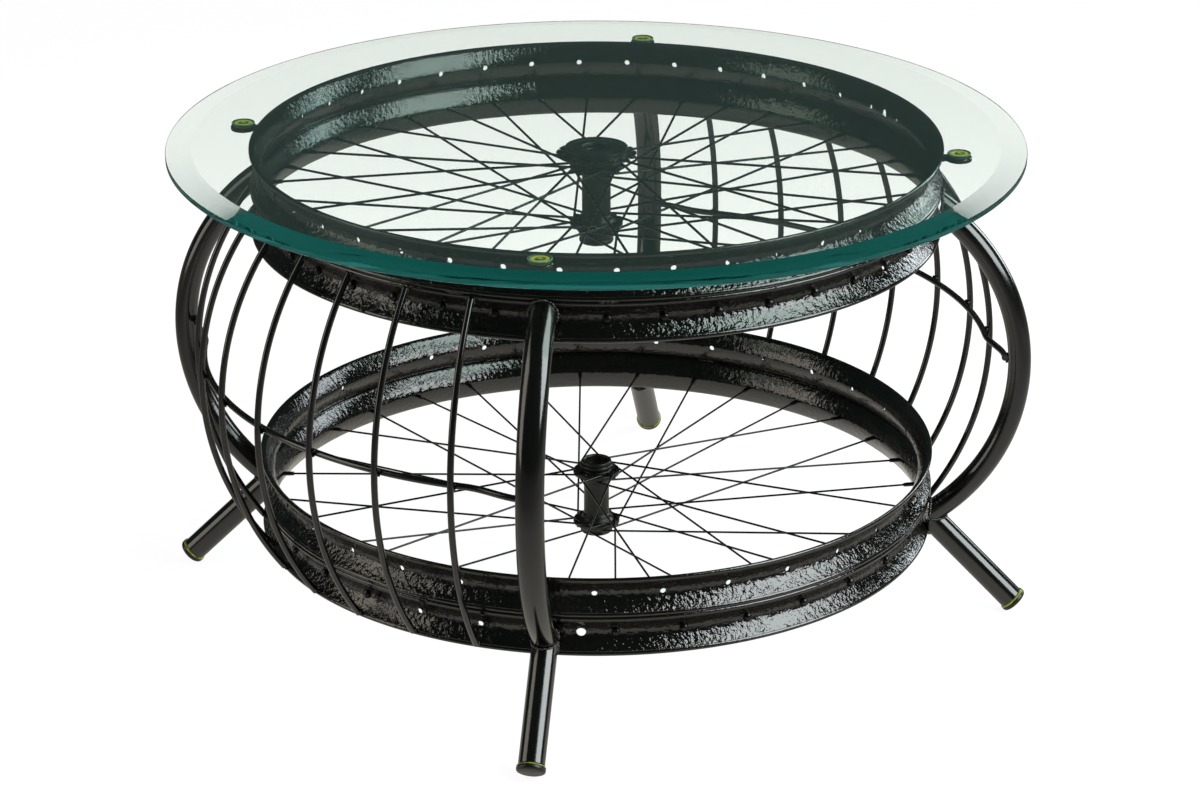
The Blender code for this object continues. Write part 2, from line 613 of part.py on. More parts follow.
def main():
    clear_scene()
    rim_enamel = finish("hammered_black_enamel", (0.012, 0.012, 0.012), 0.28)
    tube_enamel = finish("black_stove_enamel", (0.018, 0.018, 0.017), 0.22)
    hub_enamel = finish("black_hub_enamel", (0.020, 0.021, 0.020), 0.38)
    spoke_enamel = finish("black_spoke_enamel", (0.015, 0.016, 0.015), 0.35)
    pad_rubber = finish("yellow_green_pad_rubber", (0.42, 0.50, 0.12), 0.35)
    plug_rubber = finish("dark_plug_rubber", (0.045, 0.045, 0.035), 0.55)
    glass = finish("green_float_glass", (0.80, 0.93, 0.88), 0.02, transmission=1.0)

    add_glass(glass)
    add_pads(tube_enamel, pad_rubber)
    add_rim("upper_top_rim", rim_enamel, UPPER_TOP_MIDDLE, UPPER_SPOKE_COUNT, UPPER_HOLE_PHASE)
    add_rim("upper_spoked_rim", rim_enamel, UPPER_SPOKED_MIDDLE)
    add_rim("lower_top_rim", rim_enamel, LOWER_TOP_MIDDLE, LOWER_SPOKE_COUNT, LOWER_HOLE_PHASE)
    add_rim("lower_spoked_rim", rim_enamel, LOWER_SPOKED_MIDDLE)

    upper_hub = hub_outline(
        UPPER_HUB_MIDDLE, UPPER_FLANGE_SPACING, UPPER_FLANGE_RADIUS, UPPER_BARREL_RADIUS,
        UPPER_HUB_END_RADIUS, UPPER_HUB_END_LENGTH, (FREEWHEEL_NECK_RADIUS, FREEWHEEL_NECK_LENGTH),
    )
    lower_hub = hub_outline(
        LOWER_HUB_MIDDLE, LOWER_FLANGE_SPACING, LOWER_FLANGE_RADIUS, LOWER_BARREL_RADIUS,
        LOWER_HUB_END_RADIUS, LOWER_HUB_END_LENGTH,
    )
    add_object("upper_hub", lathe("upper_hub", upper_hub, HUB_SEGMENTS), hub_enamel)
    add_object("lower_hub", lathe("lower_hub", lower_hub, HUB_SEGMENTS), hub_enamel)
    add_freewheel(hub_enamel, hub_enamel)

    for name, first, half in (("top", 0, 0.5), ("bottom", 1, -0.5)):
        upper_flange = UPPER_HUB_MIDDLE + half * UPPER_FLANGE_SPACING
        upper = (UPPER_FLANGE_RADIUS, UPPER_FLANGE_HOLE_RADIUS, upper_flange)
        add_spokes(
            "upper_spokes_" + name, spoke_enamel, UPPER_SPOKE_COUNT, first, UPPER_SPOKE_PHASE,
            UPPER_SPOKE_CROSSES, UPPER_SPOKE_RADIUS, upper, UPPER_SPOKED_MIDDLE,
        )
        lower_flange = LOWER_HUB_MIDDLE + half * LOWER_FLANGE_SPACING
        lower = (LOWER_FLANGE_RADIUS, LOWER_FLANGE_HOLE_RADIUS, lower_flange)
        add_spokes(
            "lower_spokes_" + name, spoke_enamel, LOWER_SPOKE_COUNT, first, LOWER_SPOKE_PHASE,
            LOWER_SPOKE_CROSSES, LOWER_SPOKE_RADIUS, lower, LOWER_SPOKED_MIDDLE,
        )

    add_legs(tube_enamel)
    add_feet(tube_enamel, plug_rubber)
    add_cages(tube_enamel)


main()
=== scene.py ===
# %% [markdown]
# # A coffee table made from bicycle wheels
# Two pairs of old steel rims, painted black, are joined by four bent tube legs and two cages of thin rods.
# A round glass top rests on four soft pads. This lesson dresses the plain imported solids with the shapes
# and finishes of the real table, piece by piece, in the same frame as the solids.

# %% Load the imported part
import math

import bmesh
import bpy
from mathutils import Matrix, Vector


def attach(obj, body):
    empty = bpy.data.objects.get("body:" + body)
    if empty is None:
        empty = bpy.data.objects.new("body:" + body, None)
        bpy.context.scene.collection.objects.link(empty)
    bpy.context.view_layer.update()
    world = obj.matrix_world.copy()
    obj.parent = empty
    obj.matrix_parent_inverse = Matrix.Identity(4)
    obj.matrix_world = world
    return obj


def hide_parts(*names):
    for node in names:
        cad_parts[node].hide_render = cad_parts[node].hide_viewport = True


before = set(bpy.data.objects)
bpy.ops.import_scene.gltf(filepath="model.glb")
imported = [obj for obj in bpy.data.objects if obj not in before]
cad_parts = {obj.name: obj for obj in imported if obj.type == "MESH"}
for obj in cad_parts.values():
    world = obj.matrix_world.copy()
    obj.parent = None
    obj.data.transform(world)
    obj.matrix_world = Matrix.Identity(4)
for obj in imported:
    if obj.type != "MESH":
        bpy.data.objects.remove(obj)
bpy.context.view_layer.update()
scene = bpy.context.scene

# %% [markdown]
# ## Small tools
# Three things are needed all the time. Colours are written as sRGB hex values, as a paint chart gives them,
# and one function turns them to the linear values that shaders use. One function reads a real size in
# millimetres as the scale of a texture. One function adds a node with its settings and links: where a whole
# node is given as a source, its first output is meant, so most links read as plain words.

# %% Tools for colours and nodes
MM = 0.001


def linear(code):
    """Linear RGBA of an sRGB hex colour."""
    parts = [int(code[k:k + 2], 16) / 255 for k in (1, 3, 5)]
    return (*[c / 12.92 if c <= 0.04045 else ((c + 0.055) / 1.055) ** 2.4 for c in parts], 1.0)


def per_size(millimetres):
    """Texture scale that gives features of this real size."""
    return 1.0 / (millimetres * MM)


def feed(tree, node, inputs):
    """Give each named input a value, a socket, a node or a list of sources."""
    for key, value in inputs.items():
        for source in value if isinstance(value, list) else [value]:
            if isinstance(source, bpy.types.Node):
                source = next(out for out in source.outputs if not out.is_unavailable)
            if isinstance(source, bpy.types.NodeSocket):
                tree.links.new(source, node.inputs[key])
            else:
                node.inputs[key].default_value = source


def add_node(tree, kind, inputs=None, **settings):
    """Add a node: settings are its properties, and inputs are fed as above."""
    node = tree.nodes.new(kind)
    for name, value in settings.items():
        setattr(node, name, value)
    feed(tree, node, inputs or {})
    return node


print("white in linear light:", linear("#ffffff")[:3])

# %% [markdown]
# ## Tools for meshes
# Nearly every piece is a row of rings skinned over: a turned piece has one outline repeated round the axis,
# a tube has one section repeated along its line. So one loft function makes most meshes.
# Another function cuts a mesh at a plane, as a saw cuts a tube, and a last one softens an outline's corners.

# %% Loft, saw cut and softened corners
TURN = 2 * math.pi
CORNER_LIMIT = 0.45


def at_turn(radius, turn, height):
    """Point at a radius and a height, turned about Z."""
    return (radius * math.cos(turn), radius * math.sin(turn), height)


def face_outwards(bm, mesh):
    """Write a bmesh to a mesh, with its faces pointing outwards."""
    bmesh.ops.recalc_face_normals(bm, faces=bm.faces)
    bm.to_mesh(mesh)
    bm.free()


def loft(name, rings, loop=False):
    """Skin closed rings of points. A loop joins the last ring to the first; otherwise the ends are capped."""
    around = len(rings[0])
    points = [point for ring in rings for point in ring]
    faces = []
    for k in range(len(rings) if loop else len(rings) - 1):
        here = k * around
        there = ((k + 1) % len(rings)) * around
        for j in range(around):
            after = (j + 1) % around
            faces.append((here + j, here + after, there + after, there + j))
    if not loop:
        faces.append(tuple(reversed(range(around))))
        faces.append(tuple(range(len(points) - around, len(points))))
    mesh = bpy.data.meshes.new(name)
    mesh.from_pydata(points, [], faces)
    bm = bmesh.new()
    bm.from_mesh(mesh)
    face_outwards(bm, mesh)
    return mesh


def turned(name, outline, segments):
    """Turn a closed outline of (radius, height) points about Z."""
    turns = [TURN * k / segments for k in range(segments)]
    return loft(name, [[at_turn(r, turn, z) for r, z in outline] for turn in turns], loop=True)


def stacked(name, outline, sides):
    """Full turned piece: one ring for each (radius, height) of an open outline, with flat ends."""
    turns = [TURN * k / sides for k in range(sides)]
    return loft(name, [[at_turn(r, turn, z) for turn in turns] for r, z in outline])


def saw_off(mesh, point, normal):
    """Cut away what lies on the normal's side of a plane, and close the cut."""
    bm = bmesh.new()
    bm.from_mesh(mesh)
    everything = bm.verts[:] + bm.edges[:] + bm.faces[:]
    cut = bmesh.ops.bisect_plane(bm, geom=everything, plane_co=point, plane_no=normal, clear_outer=True)
    rim = [item for item in cut["geom_cut"] if isinstance(item, bmesh.types.BMEdge)]
    if rim:
        bmesh.ops.contextual_create(bm, geom=rim)
    face_outwards(bm, mesh)


def soften(outline, radius, steps=3):
    """Round every corner of a closed flat outline."""
    rounded = []
    count = len(outline)
    for k in range(count):
        corner = Vector(outline[k])
        before = Vector(outline[k - 1]) - corner
        after = Vector(outline[(k + 1) % count]) - corner
        start = corner + before * min(CORNER_LIMIT, radius / before.length)
        end = corner + after * min(CORNER_LIMIT, radius / after.length)
        for j in range(steps + 1):
            t = j / steps
            rounded.append(tuple(start * (1 - t) ** 2 + corner * 2 * t * (1 - t) + end * t ** 2))
    return rounded


square = [(0, 0), (1, 0), (1, 1), (0, 1)]
print("a softened square has", len(soften(square, 0.1)), "points")

# %% [markdown]
# ## Tools for Geometry Nodes
# Holes, lumps of paint, spokes, rods and weld beads all repeat or follow a line, so node trees make them.
# A tree gets named inputs, and a modifier runs it on a plain mesh. The evaluated result becomes a plain mesh
# again, because the export drops instances and the frame wants finished pieces.

# %% Trees, and keeping a finished piece
SOCKET_KINDS = {int: "NodeSocketInt", float: "NodeSocketFloat", bpy.types.Material: "NodeSocketMaterial"}
SHARP_ANGLE = 38.0
finishes = {}


def new_tree(name, defaults):
    """Geometry tree with named inputs beside its geometry; returns the tree and its input node."""
    tree = bpy.data.node_groups.new(name, "GeometryNodeTree")
    tree.interface.new_socket("Geometry", in_out="INPUT", socket_type="NodeSocketGeometry")
    for label, value in defaults.items():
        socket = tree.interface.new_socket(label, in_out="INPUT", socket_type=SOCKET_KINDS[type(value)])
        socket.default_value = value
    tree.interface.new_socket("Geometry", in_out="OUTPUT", socket_type="NodeSocketGeometry")
    return tree, add_node(tree, "NodeGroupInput")


def close_tree(tree, given, geometry):
    """End a tree: instances become real mesh, and the material input is set."""
    real = add_node(tree, "GeometryNodeRealizeInstances", {"Geometry": geometry})
    painted = add_node(tree, "GeometryNodeSetMaterial", {
        "Geometry": real, "Material": given.outputs["Material"]})
    add_node(tree, "NodeGroupOutput", {"Geometry": painted})
    print("tree", tree.name, "with", len(tree.nodes), "nodes")


def run_trees(piece, slot, steps):
    """Run trees on a piece, one after the other, and leave it the plain result as its mesh."""
    for tree, values in steps:
        modifier = piece.modifiers.new(tree.name, "NODES")
        modifier.node_group = tree
        wanted = {"Material": finishes[slot], **values}
        for item in tree.interface.items_tree:
            if item.in_out == "INPUT" and item.name in wanted:
                modifier[item.identifier] = wanted[item.name]
    graph = bpy.context.evaluated_depsgraph_get()
    plain = bpy.data.meshes.new_from_object(piece.evaluated_get(graph))
    piece.modifiers.clear()
    piece.data = plain


def keep(mesh, slot, nodes=(), steps=(), body="frame"):
    """Finish a piece: its trees, the finish of its slot, shading, its body, and hiding the solids it stands
    for.
    """
    piece = bpy.data.objects.new(mesh.name, mesh)
    scene.collection.objects.link(piece)
    if steps:
        run_trees(piece, slot, steps)
    mesh = piece.data
    if not mesh.materials:
        mesh.materials.append(finishes[slot])
    mesh.shade_smooth()
    mesh.set_sharp_from_angle(angle=math.radians(SHARP_ANGLE))
    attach(piece, body)
    if nodes:
        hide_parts(*nodes)
    print("piece", piece.name, "on", body, "with", len(mesh.polygons), "faces")
    return piece


print("trees take inputs of", [kind.__name__ for kind in SOCKET_KINDS])

# %% [markdown]
# ## Camera
# The photograph was taken from a little to the right of the front leg, about 22 degrees above the level,
# with a long lens from about three metres. The place and the lens were worked out from where the rims,
# feet and glass fall in the picture, so the camera is simply put there.

# %% Camera at the photograph's angle
CAMERA_PLACE = Vector((0.4281, -3.0084, 1.4285))
CAMERA_SIGHT = Vector((-0.1295, 0.9175, -0.3760))
CAMERA_LENS = 102.17
CAMERA_SENSOR = 36.0
CAMERA_REACH = 60.0

camera_data = bpy.data.cameras.new("photo_camera")
camera_data.sensor_width = CAMERA_SENSOR
camera_data.lens = CAMERA_LENS
camera_data.clip_end = CAMERA_REACH
camera = bpy.data.objects.new("photo_camera", camera_data)
camera.location = CAMERA_PLACE
camera.rotation_euler = CAMERA_SIGHT.to_track_quat("-Z", "Y").to_euler()
scene.collection.objects.link(camera)
scene.camera = camera
scene.view_settings.view_transform = "Standard"
print("camera", round(CAMERA_PLACE.length, 2), "m from the middle of the table")

# %% [markdown]
# ## Materials
# Almost everything is black paint, so the finishes differ by gloss and surface, not by colour.
# The rims were old and pitted: thick brushed enamel lies over them in lumps. The tubes are new steel under
# smooth stove enamel. Spokes and hubs have thin, duller paint. All patterns read Object coordinates,
# which are metres here.

# %% Lumpy black enamel on the rims
def new_material(name, colour, roughness, ior):
    """New material, its tree and its shader. A pattern may be linked over the plain colour and roughness."""
    material = bpy.data.materials.new(name)
    material.use_nodes = True
    tree = material.node_tree
    shader = tree.nodes["Principled BSDF"]
    feed(tree, shader, {"Base Color": linear(colour), "Roughness": roughness, "IOR": ior})
    print("finish", name, "with IOR", ior)
    return material, tree, shader


# Thick glossy paint over pitted steel: mirror-like lumps a few millimetres wide break up every reflection.
# They stand highest where the paint is thickest, which the rims' own lump_share tells
ENAMEL_IOR = 1.72
LUMP_SIZE = 4.4
LUMP_BUMP = 1.5 * MM
GRIT_SIZE = 1.6
GRIT_BUMP = 0.15 * MM
DULL_PATCH_SIZE = 26.0

rim_enamel, tree, shader = new_material("lumpy_black_enamel", "#0a0906", 0.1, ENAMEL_IOR)
place = add_node(tree, "ShaderNodeTexCoord").outputs["Object"]
lumps = add_node(tree, "ShaderNodeTexNoise", {"Vector": place, "Scale": per_size(LUMP_SIZE), "Detail": 2.0})
grit = add_node(tree, "ShaderNodeTexNoise", {"Vector": place, "Scale": per_size(GRIT_SIZE), "Detail": 2.0})
patches = add_node(tree, "ShaderNodeTexNoise", {
    "Vector": place, "Scale": per_size(DULL_PATCH_SIZE), "Detail": 3.0})
pitted = add_node(tree, "ShaderNodeMapRange", {
    "Value": patches, "From Min": 0.38, "From Max": 0.60, "To Min": 0.62, "To Max": 1.0})
thickly = add_node(tree, "ShaderNodeAttribute", attribute_name="lump_share").outputs["Fac"]
roughly = add_node(tree, "ShaderNodeMath", {0: pitted, 1: thickly}, operation="MULTIPLY")
bump = add_node(tree, "ShaderNodeBump", {"Height": lumps, "Strength": roughly, "Distance": LUMP_BUMP})
finer = add_node(tree, "ShaderNodeBump", {
    "Height": grit, "Strength": 0.5, "Distance": GRIT_BUMP, "Normal": bump})
gloss = add_node(tree, "ShaderNodeMapRange", {
    "Value": patches, "From Min": 0.35, "From Max": 0.7, "To Min": 0.04, "To Max": 0.09})
tint = add_node(tree, "ShaderNodeMix", {
    "Factor": patches, "A": linear("#060503"), "B": linear("#12100b")}, data_type="RGBA")
feed(tree, shader, {"Normal": finer, "Roughness": gloss, "Base Color": tint})

# %% Sprayed paint on tubes, spokes and hubs
PAINT_IOR = 1.5


def sprayed_paint(name, colour, ior, patch_size, detail, glossy, dull, grain_size=None, grain_bump=None):
    """Black paint whose gloss changes in patches, with a raised grain if its size and height are given."""
    material, tree, shader = new_material(name, colour, (glossy + dull) / 2, ior)
    place = add_node(tree, "ShaderNodeTexCoord").outputs["Object"]
    patches = add_node(tree, "ShaderNodeTexNoise", {
        "Vector": place, "Scale": per_size(patch_size), "Detail": detail})
    gloss = add_node(tree, "ShaderNodeMapRange", {
        "Value": patches, "From Min": 0.3, "From Max": 0.7, "To Min": glossy, "To Max": dull})
    feed(tree, shader, {"Roughness": gloss})
    if grain_size:
        grain = add_node(tree, "ShaderNodeTexNoise", {
            "Vector": place, "Scale": per_size(grain_size), "Detail": 2.0})
        bump = add_node(tree, "ShaderNodeBump", {"Height": grain, "Strength": 0.3, "Distance": grain_bump})
        feed(tree, shader, {"Normal": bump})
    return material


# Stove enamel, sprayed and baked on new tube: even and glossy, with a faint orange peel that only bends
# the highlights
tube_enamel = sprayed_paint("black_stove_enamel", "#0b0a08", ENAMEL_IOR, patch_size=40.0, detail=3.0,
                            glossy=0.11, dull=0.18, grain_size=2.5, grain_bump=0.12 * MM)
# Thin paint over old plated steel: half gloss on the spokes, and duller on the hubs, with grime in it
spoke_enamel = sprayed_paint("thin_black_spoke_paint", "#080706", PAINT_IOR, patch_size=6.0, detail=2.0,
                             glossy=0.18, dull=0.30)
hub_enamel = sprayed_paint("thin_black_hub_paint", "#14140f", PAINT_IOR, patch_size=5.0, detail=2.0,
                           glossy=0.30, dull=0.42, grain_size=5.0, grain_bump=0.1 * MM)

# %% Float glass
# Polished soda-lime glass: clear through its face, green where light travels far inside it, as at the edge
GLASS_IOR = 1.52
GLASS_DENSITY = 3.6
GLASS_PASSES = (0.0, 0.80, 0.783, 1.0)

glass, tree, shader = new_material("green_float_glass", "#fcfff9", 0.0, GLASS_IOR)
feed(tree, shader, {"Transmission Weight": 1.0})
path = add_node(tree, "ShaderNodeLightPath")
open_glass = add_node(tree, "ShaderNodeBsdfTransparent", {"Color": linear("#eef4f1")})
# Shadows and reflections in the paint pass the glass with a pale tint, so the rims under it still mirror
# the soft boxes. A ray that the glass itself has mirrored is glossy too, but singular: it keeps true glass
for_mirror_rays = add_node(tree, "ShaderNodeMixShader", {
    0: path.outputs["Is Singular Ray"], 1: open_glass, 2: shader})
for_paint_rays = add_node(tree, "ShaderNodeMixShader", {
    0: path.outputs["Is Glossy Ray"], 1: shader, 2: for_mirror_rays})
mixed = add_node(tree, "ShaderNodeMixShader", {
    0: path.outputs["Is Shadow Ray"], 1: for_paint_rays, 2: open_glass})
inside = add_node(tree, "ShaderNodeVolumeAbsorption", {"Color": GLASS_PASSES, "Density": GLASS_DENSITY})
feed(tree, tree.nodes["Material Output"], {"Surface": mixed, "Volume": inside})

# %% Soft pads and foot plugs
# Clear yellow-green soft plastic: painted highlights on its lip and middle, painted shade in its groove
PAD_PAINTED_LIGHT_RINGS = [
    (0.0, "#c4bf72"), (0.14, "#b0a850"), (0.24, "#4c4a12"), (0.42, "#5c5a18"), (0.52, "#c8b83c"),
    (0.72, "#c0b23e"), (0.82, "#33462a"), (0.90, "#2f4a30"), (0.95, "#93ab88"), (1.0, "#2c3a22"),
]
pad_rubber, tree, shader = new_material("yellow_green_soft_plastic", "#8fa03c", 0.22, PAINT_IOR)
ring_share = add_node(tree, "ShaderNodeAttribute", attribute_name="ring_share").outputs["Fac"]
# The ramp paints highlights and shade in rings, by distance from the pad's middle
rings = add_node(tree, "ShaderNodeValToRGB", {"Fac": ring_share})
stops = rings.color_ramp.elements
for stop, (position, colour) in zip(stops, (PAD_PAINTED_LIGHT_RINGS[0], PAD_PAINTED_LIGHT_RINGS[-1])):
    stop.position, stop.color = position, linear(colour)
for position, colour in PAD_PAINTED_LIGHT_RINGS[1:-1]:
    stops.new(position).color = linear(colour)
feed(tree, shader, {"Base Color": rings})

# The plugs at the feet are black, with a yellow-green seam of squeezed-out plastic against the tube
DIRT_SIZE = 7.0
plug_rubber, tree, shader = new_material("black_plug_with_green_seam", "#12120e", 0.35, PAINT_IOR)
place = add_node(tree, "ShaderNodeTexCoord").outputs["Object"]
seam = add_node(tree, "ShaderNodeAttribute", attribute_name="seam").outputs["Fac"]
dirt = add_node(tree, "ShaderNodeTexNoise", {"Vector": place, "Scale": per_size(DIRT_SIZE), "Detail": 2.0})
uneven = add_node(tree, "ShaderNodeMapRange", {
    "Value": dirt, "From Min": 0.35, "From Max": 0.6, "To Min": 0.25, "To Max": 1.0})
showing = add_node(tree, "ShaderNodeMath", {0: seam, 1: uneven}, operation="MULTIPLY")
tint = add_node(tree, "ShaderNodeMix", {
    "Factor": showing, "A": linear("#13130e"), "B": linear("#a6ad45")}, data_type="RGBA")
feed(tree, shader, {"Base Color": tint})

# %% Finishes by slot
finishes.update({
    "rim_enamel": rim_enamel, "tube_enamel": tube_enamel, "spoke_enamel": spoke_enamel,
    "hub_enamel": hub_enamel, "glass": glass, "pad_rubber": pad_rubber, "plug_rubber": plug_rubber})
print("finishes", sorted(finishes))

# %% [markdown]
# ## Rims
# Each wheel is two steel rims, one on the other. A rim is rolled from one sheet: a rounded bead at each edge,
# an open well on the outside and a blunt ridge on the inside, where the spoke holes are.
# The section is turned round the axis. One tree then raises the lumps of old paint as real shape,
# and a second punches rows of holes, because 40 holes in a rim are one hole 40 times.

# %% Rim section
RIM_RADIUS = 0.3235
RIM_HALF = 0.0190
WELL_HALF = 0.01445
WELL_DEPTH = 0.011
WELL_STEP = 0.0016
WELL_CURVE = 1.7
WELL_POINTS = 14
GROOVE_HALF = 0.0058
GROOVE_STEP = 0.0005
RIDGE_DEPTH = 0.0132
RIDGE_INSET = 0.0016
RIDGE_CURVE = 1.45
RIDGE_POINTS = 9
EDGE_DEPTH = 0.0036
RIM_SEGMENTS = 900
EDGE_BEAD = [
    (-0.0036, -0.0009), (-0.0030, -0.0003), (-0.0022, 0.0), (-0.0013, -0.0001), (-0.0006, -0.0005),
    (-0.0001, -0.0012), (0.0, -0.0020), (-0.0001, -0.0029), (-0.0005, -0.0036), (-0.0011, -0.0041),
]
# How thick the paint lies, and so how lumpy it is, on the edges, in the well and inside
BEAD_LUMPS = 0.3
WELL_LUMPS = 1.0
RIDGE_LUMPS = 0.5

upper_half = [(RIM_RADIUS + r, RIM_HALF + z, BEAD_LUMPS) for r, z in EDGE_BEAD]
for k in range(WELL_POINTS + 1):
    z = WELL_HALF * (1 - k / WELL_POINTS)
    rise = (WELL_DEPTH - WELL_STEP) * (z / WELL_HALF) ** WELL_CURVE
    if z > GROOVE_HALF:
        rise += GROOVE_STEP
    upper_half.append((RIM_RADIUS - WELL_DEPTH + rise, z, WELL_LUMPS))
lower_half = [(r, -z, share) for r, z, share in reversed(upper_half[:-1])]
ridge = []
for k in range(2 * RIDGE_POINTS + 1):
    z = (RIM_HALF - RIDGE_INSET) * (k / RIDGE_POINTS - 1)
    rise = (RIDGE_DEPTH - EDGE_DEPTH) * (abs(z) / RIM_HALF) ** RIDGE_CURVE
    ridge.append((RIM_RADIUS - RIDGE_DEPTH + rise, z, RIDGE_LUMPS))
rim_section = upper_half + lower_half + ridge
print("rim section of", len(rim_section), "points, well", WELL_DEPTH / MM, "mm deep")

# %% Tree that raises lumps of paint
LUMP_WIDTH = 0.006
LUMP_HEIGHT = 0.0004

lump_tree, given = new_tree("lumps_of_paint", {
    "Lump size": LUMP_WIDTH, "Lump height": LUMP_HEIGHT, "Seed": 0.0, "Material": rim_enamel})
where = add_node(lump_tree, "GeometryNodeInputPosition")
scale = add_node(lump_tree, "ShaderNodeMath", {0: 1.0, 1: given.outputs["Lump size"]}, operation="DIVIDE")
noise = add_node(lump_tree, "ShaderNodeTexNoise", {
    "Vector": where, "W": given.outputs["Seed"], "Scale": scale, "Detail": 1.5, "Roughness": 0.55},
    noise_dimensions="4D")
centred = add_node(lump_tree, "ShaderNodeMath", {0: noise, 1: 0.5}, operation="SUBTRACT")
height = add_node(lump_tree, "ShaderNodeMath", {
    0: centred, 1: given.outputs["Lump height"]}, operation="MULTIPLY")
share = add_node(lump_tree, "GeometryNodeInputNamedAttribute", {"Name": "lump_share"}, data_type="FLOAT")
masked = add_node(lump_tree, "ShaderNodeMath", {0: height, 1: share}, operation="MULTIPLY")
outward = add_node(lump_tree, "GeometryNodeInputNormal")
offset = add_node(lump_tree, "ShaderNodeVectorMath", {0: outward, "Scale": masked}, operation="SCALE")
moved = add_node(lump_tree, "GeometryNodeSetPosition", {
    "Geometry": given.outputs["Geometry"], "Offset": offset})
close_tree(lump_tree, given, moved)

# %% Tree that punches a row of round holes
PUNCH_DEPTH = 0.012
PUNCH_REACH = RIM_RADIUS - PUNCH_DEPTH
PUNCH_SIDES = 20
HOLE_RADIUS = 0.0026
VALVE_RADIUS = 0.0043

hole_tree, given = new_tree("row_of_holes", {
    "Count": 1, "First turn": 0.0, "Turn step": 0.0, "Height": 0.0, "Reach": PUNCH_REACH,
    "Radius": HOLE_RADIUS, "Material": rim_enamel})
row = add_node(hole_tree, "GeometryNodeMeshLine", {"Count": given.outputs["Count"]})
number = add_node(hole_tree, "GeometryNodeInputIndex")
turned_by = add_node(hole_tree, "ShaderNodeMath", {
    0: number, 1: given.outputs["Turn step"], 2: given.outputs["First turn"]}, operation="MULTIPLY_ADD")
angle = add_node(hole_tree, "ShaderNodeMath", {0: turned_by}, operation="RADIANS")
along_x = add_node(hole_tree, "ShaderNodeCombineXYZ", {
    "X": given.outputs["Reach"], "Z": given.outputs["Height"]})
round_axis = add_node(hole_tree, "ShaderNodeVectorRotate", {
    "Vector": along_x, "Axis": (0.0, 0.0, 1.0), "Angle": angle}, rotation_type="AXIS_ANGLE")
placed = add_node(hole_tree, "GeometryNodeSetPosition", {"Geometry": row, "Position": round_axis})
lying = add_node(hole_tree, "ShaderNodeCombineXYZ", {"Y": math.pi / 2, "Z": angle})
facing = add_node(hole_tree, "FunctionNodeEulerToRotation", {"Euler": lying})
punch = add_node(hole_tree, "GeometryNodeMeshCylinder", {
    "Vertices": PUNCH_SIDES, "Radius": given.outputs["Radius"], "Depth": PUNCH_DEPTH})
punches = add_node(hole_tree, "GeometryNodeInstanceOnPoints", {
    "Points": placed, "Instance": punch, "Rotation": facing})
solid_punches = add_node(hole_tree, "GeometryNodeRealizeInstances", {"Geometry": punches})
punched = add_node(hole_tree, "GeometryNodeMeshBoolean", {
    "Mesh 1": given.outputs["Geometry"], "Mesh 2": solid_punches},
    operation="DIFFERENCE", solver="MANIFOLD")
close_tree(hole_tree, given, punched)

# %% Make the four rims
LOWER_SPOKED = 0.09975
LOWER_TOP = 0.13755
UPPER_SPOKED = 0.39725
UPPER_TOP = 0.43505
UPPER_COUNT = 40
LOWER_COUNT = 32


def add_rim(name, node, height, seed, rows):
    """One rim at a height; rows are (count, first turn, turn step, radius) of its open holes."""
    mesh = turned(name, [(r, z + height) for r, z, share in rim_section], RIM_SEGMENTS)
    shares = [share for r, z, share in rim_section] * RIM_SEGMENTS
    mesh.attributes.new("lump_share", "FLOAT", "POINT").data.foreach_set("value", shares)
    steps = [(lump_tree, {"Seed": seed})]
    for count, first, step, radius in rows:
        steps.append((hole_tree, {
            "Count": count, "First turn": first, "Turn step": step, "Height": height, "Radius": radius}))
    keep(mesh, "rim_enamel", [node], steps)


add_rim("rim_upper_top", "upper_top_rim", UPPER_TOP, 1.0, [
    (UPPER_COUNT, 2.31, 360 / UPPER_COUNT, HOLE_RADIUS), (1, 33.9, 0.0, VALVE_RADIUS)])
add_rim("rim_upper_spoked", "upper_spoked_rim", UPPER_SPOKED, 2.0, [(1, 333.4, 0.0, VALVE_RADIUS)])
add_rim("rim_lower_top", "lower_top_rim", LOWER_TOP, 3.0, [
    (LOWER_COUNT, 7.75, 360 / LOWER_COUNT, HOLE_RADIUS)])
# Two spokes of the lower wheel are lost, and their holes are open
add_rim("rim_lower_spoked", "lower_spoked_rim", LOWER_SPOKED, 4.0, [
    (2, 247.5, 360 / LOWER_COUNT, HOLE_RADIUS), (1, 275.6, 0.0, VALVE_RADIUS)])

# %% [markdown]
# ## Spokes
# A spoke leaves its flange through a hole, turns at an elbow and runs straight to a nipple in the rim.
# It doesn't aim at the axis: it leaves the flange sideways, crossing the spokes that lean the other way.
# The lines are worked out first, as bare edges. A tree bends the elbows, gives the lines a round section
# and sets a head on one end and a nipple on the other.

# %% Tree that makes spokes from lines
NIPPLE = [
    (0.0013, -0.0098), (0.0019, -0.0094), (0.0021, -0.0060), (0.0021, 0.0014), (0.0038, 0.0018),
    (0.0042, 0.0028), (0.0040, 0.0040), (0.0032, 0.0050), (0.0018, 0.0056),
]
HEAD = [(0.0012, -0.0009), (0.0020, -0.0006), (0.0020, 0.0002), (0.0012, 0.0008)]
NIPPLE_SIDES = 12
HEAD_SIDES = 8
WIRE_SIDES = 10
ELBOW_RADIUS = 0.0025
ELBOW_STEPS = 4


def pattern(name, outline, sides):
    """Little turned piece, kept off the scene, for a tree to repeat."""
    mesh = stacked(name, outline, sides)
    mesh.shade_smooth()
    return bpy.data.objects.new(name, mesh)


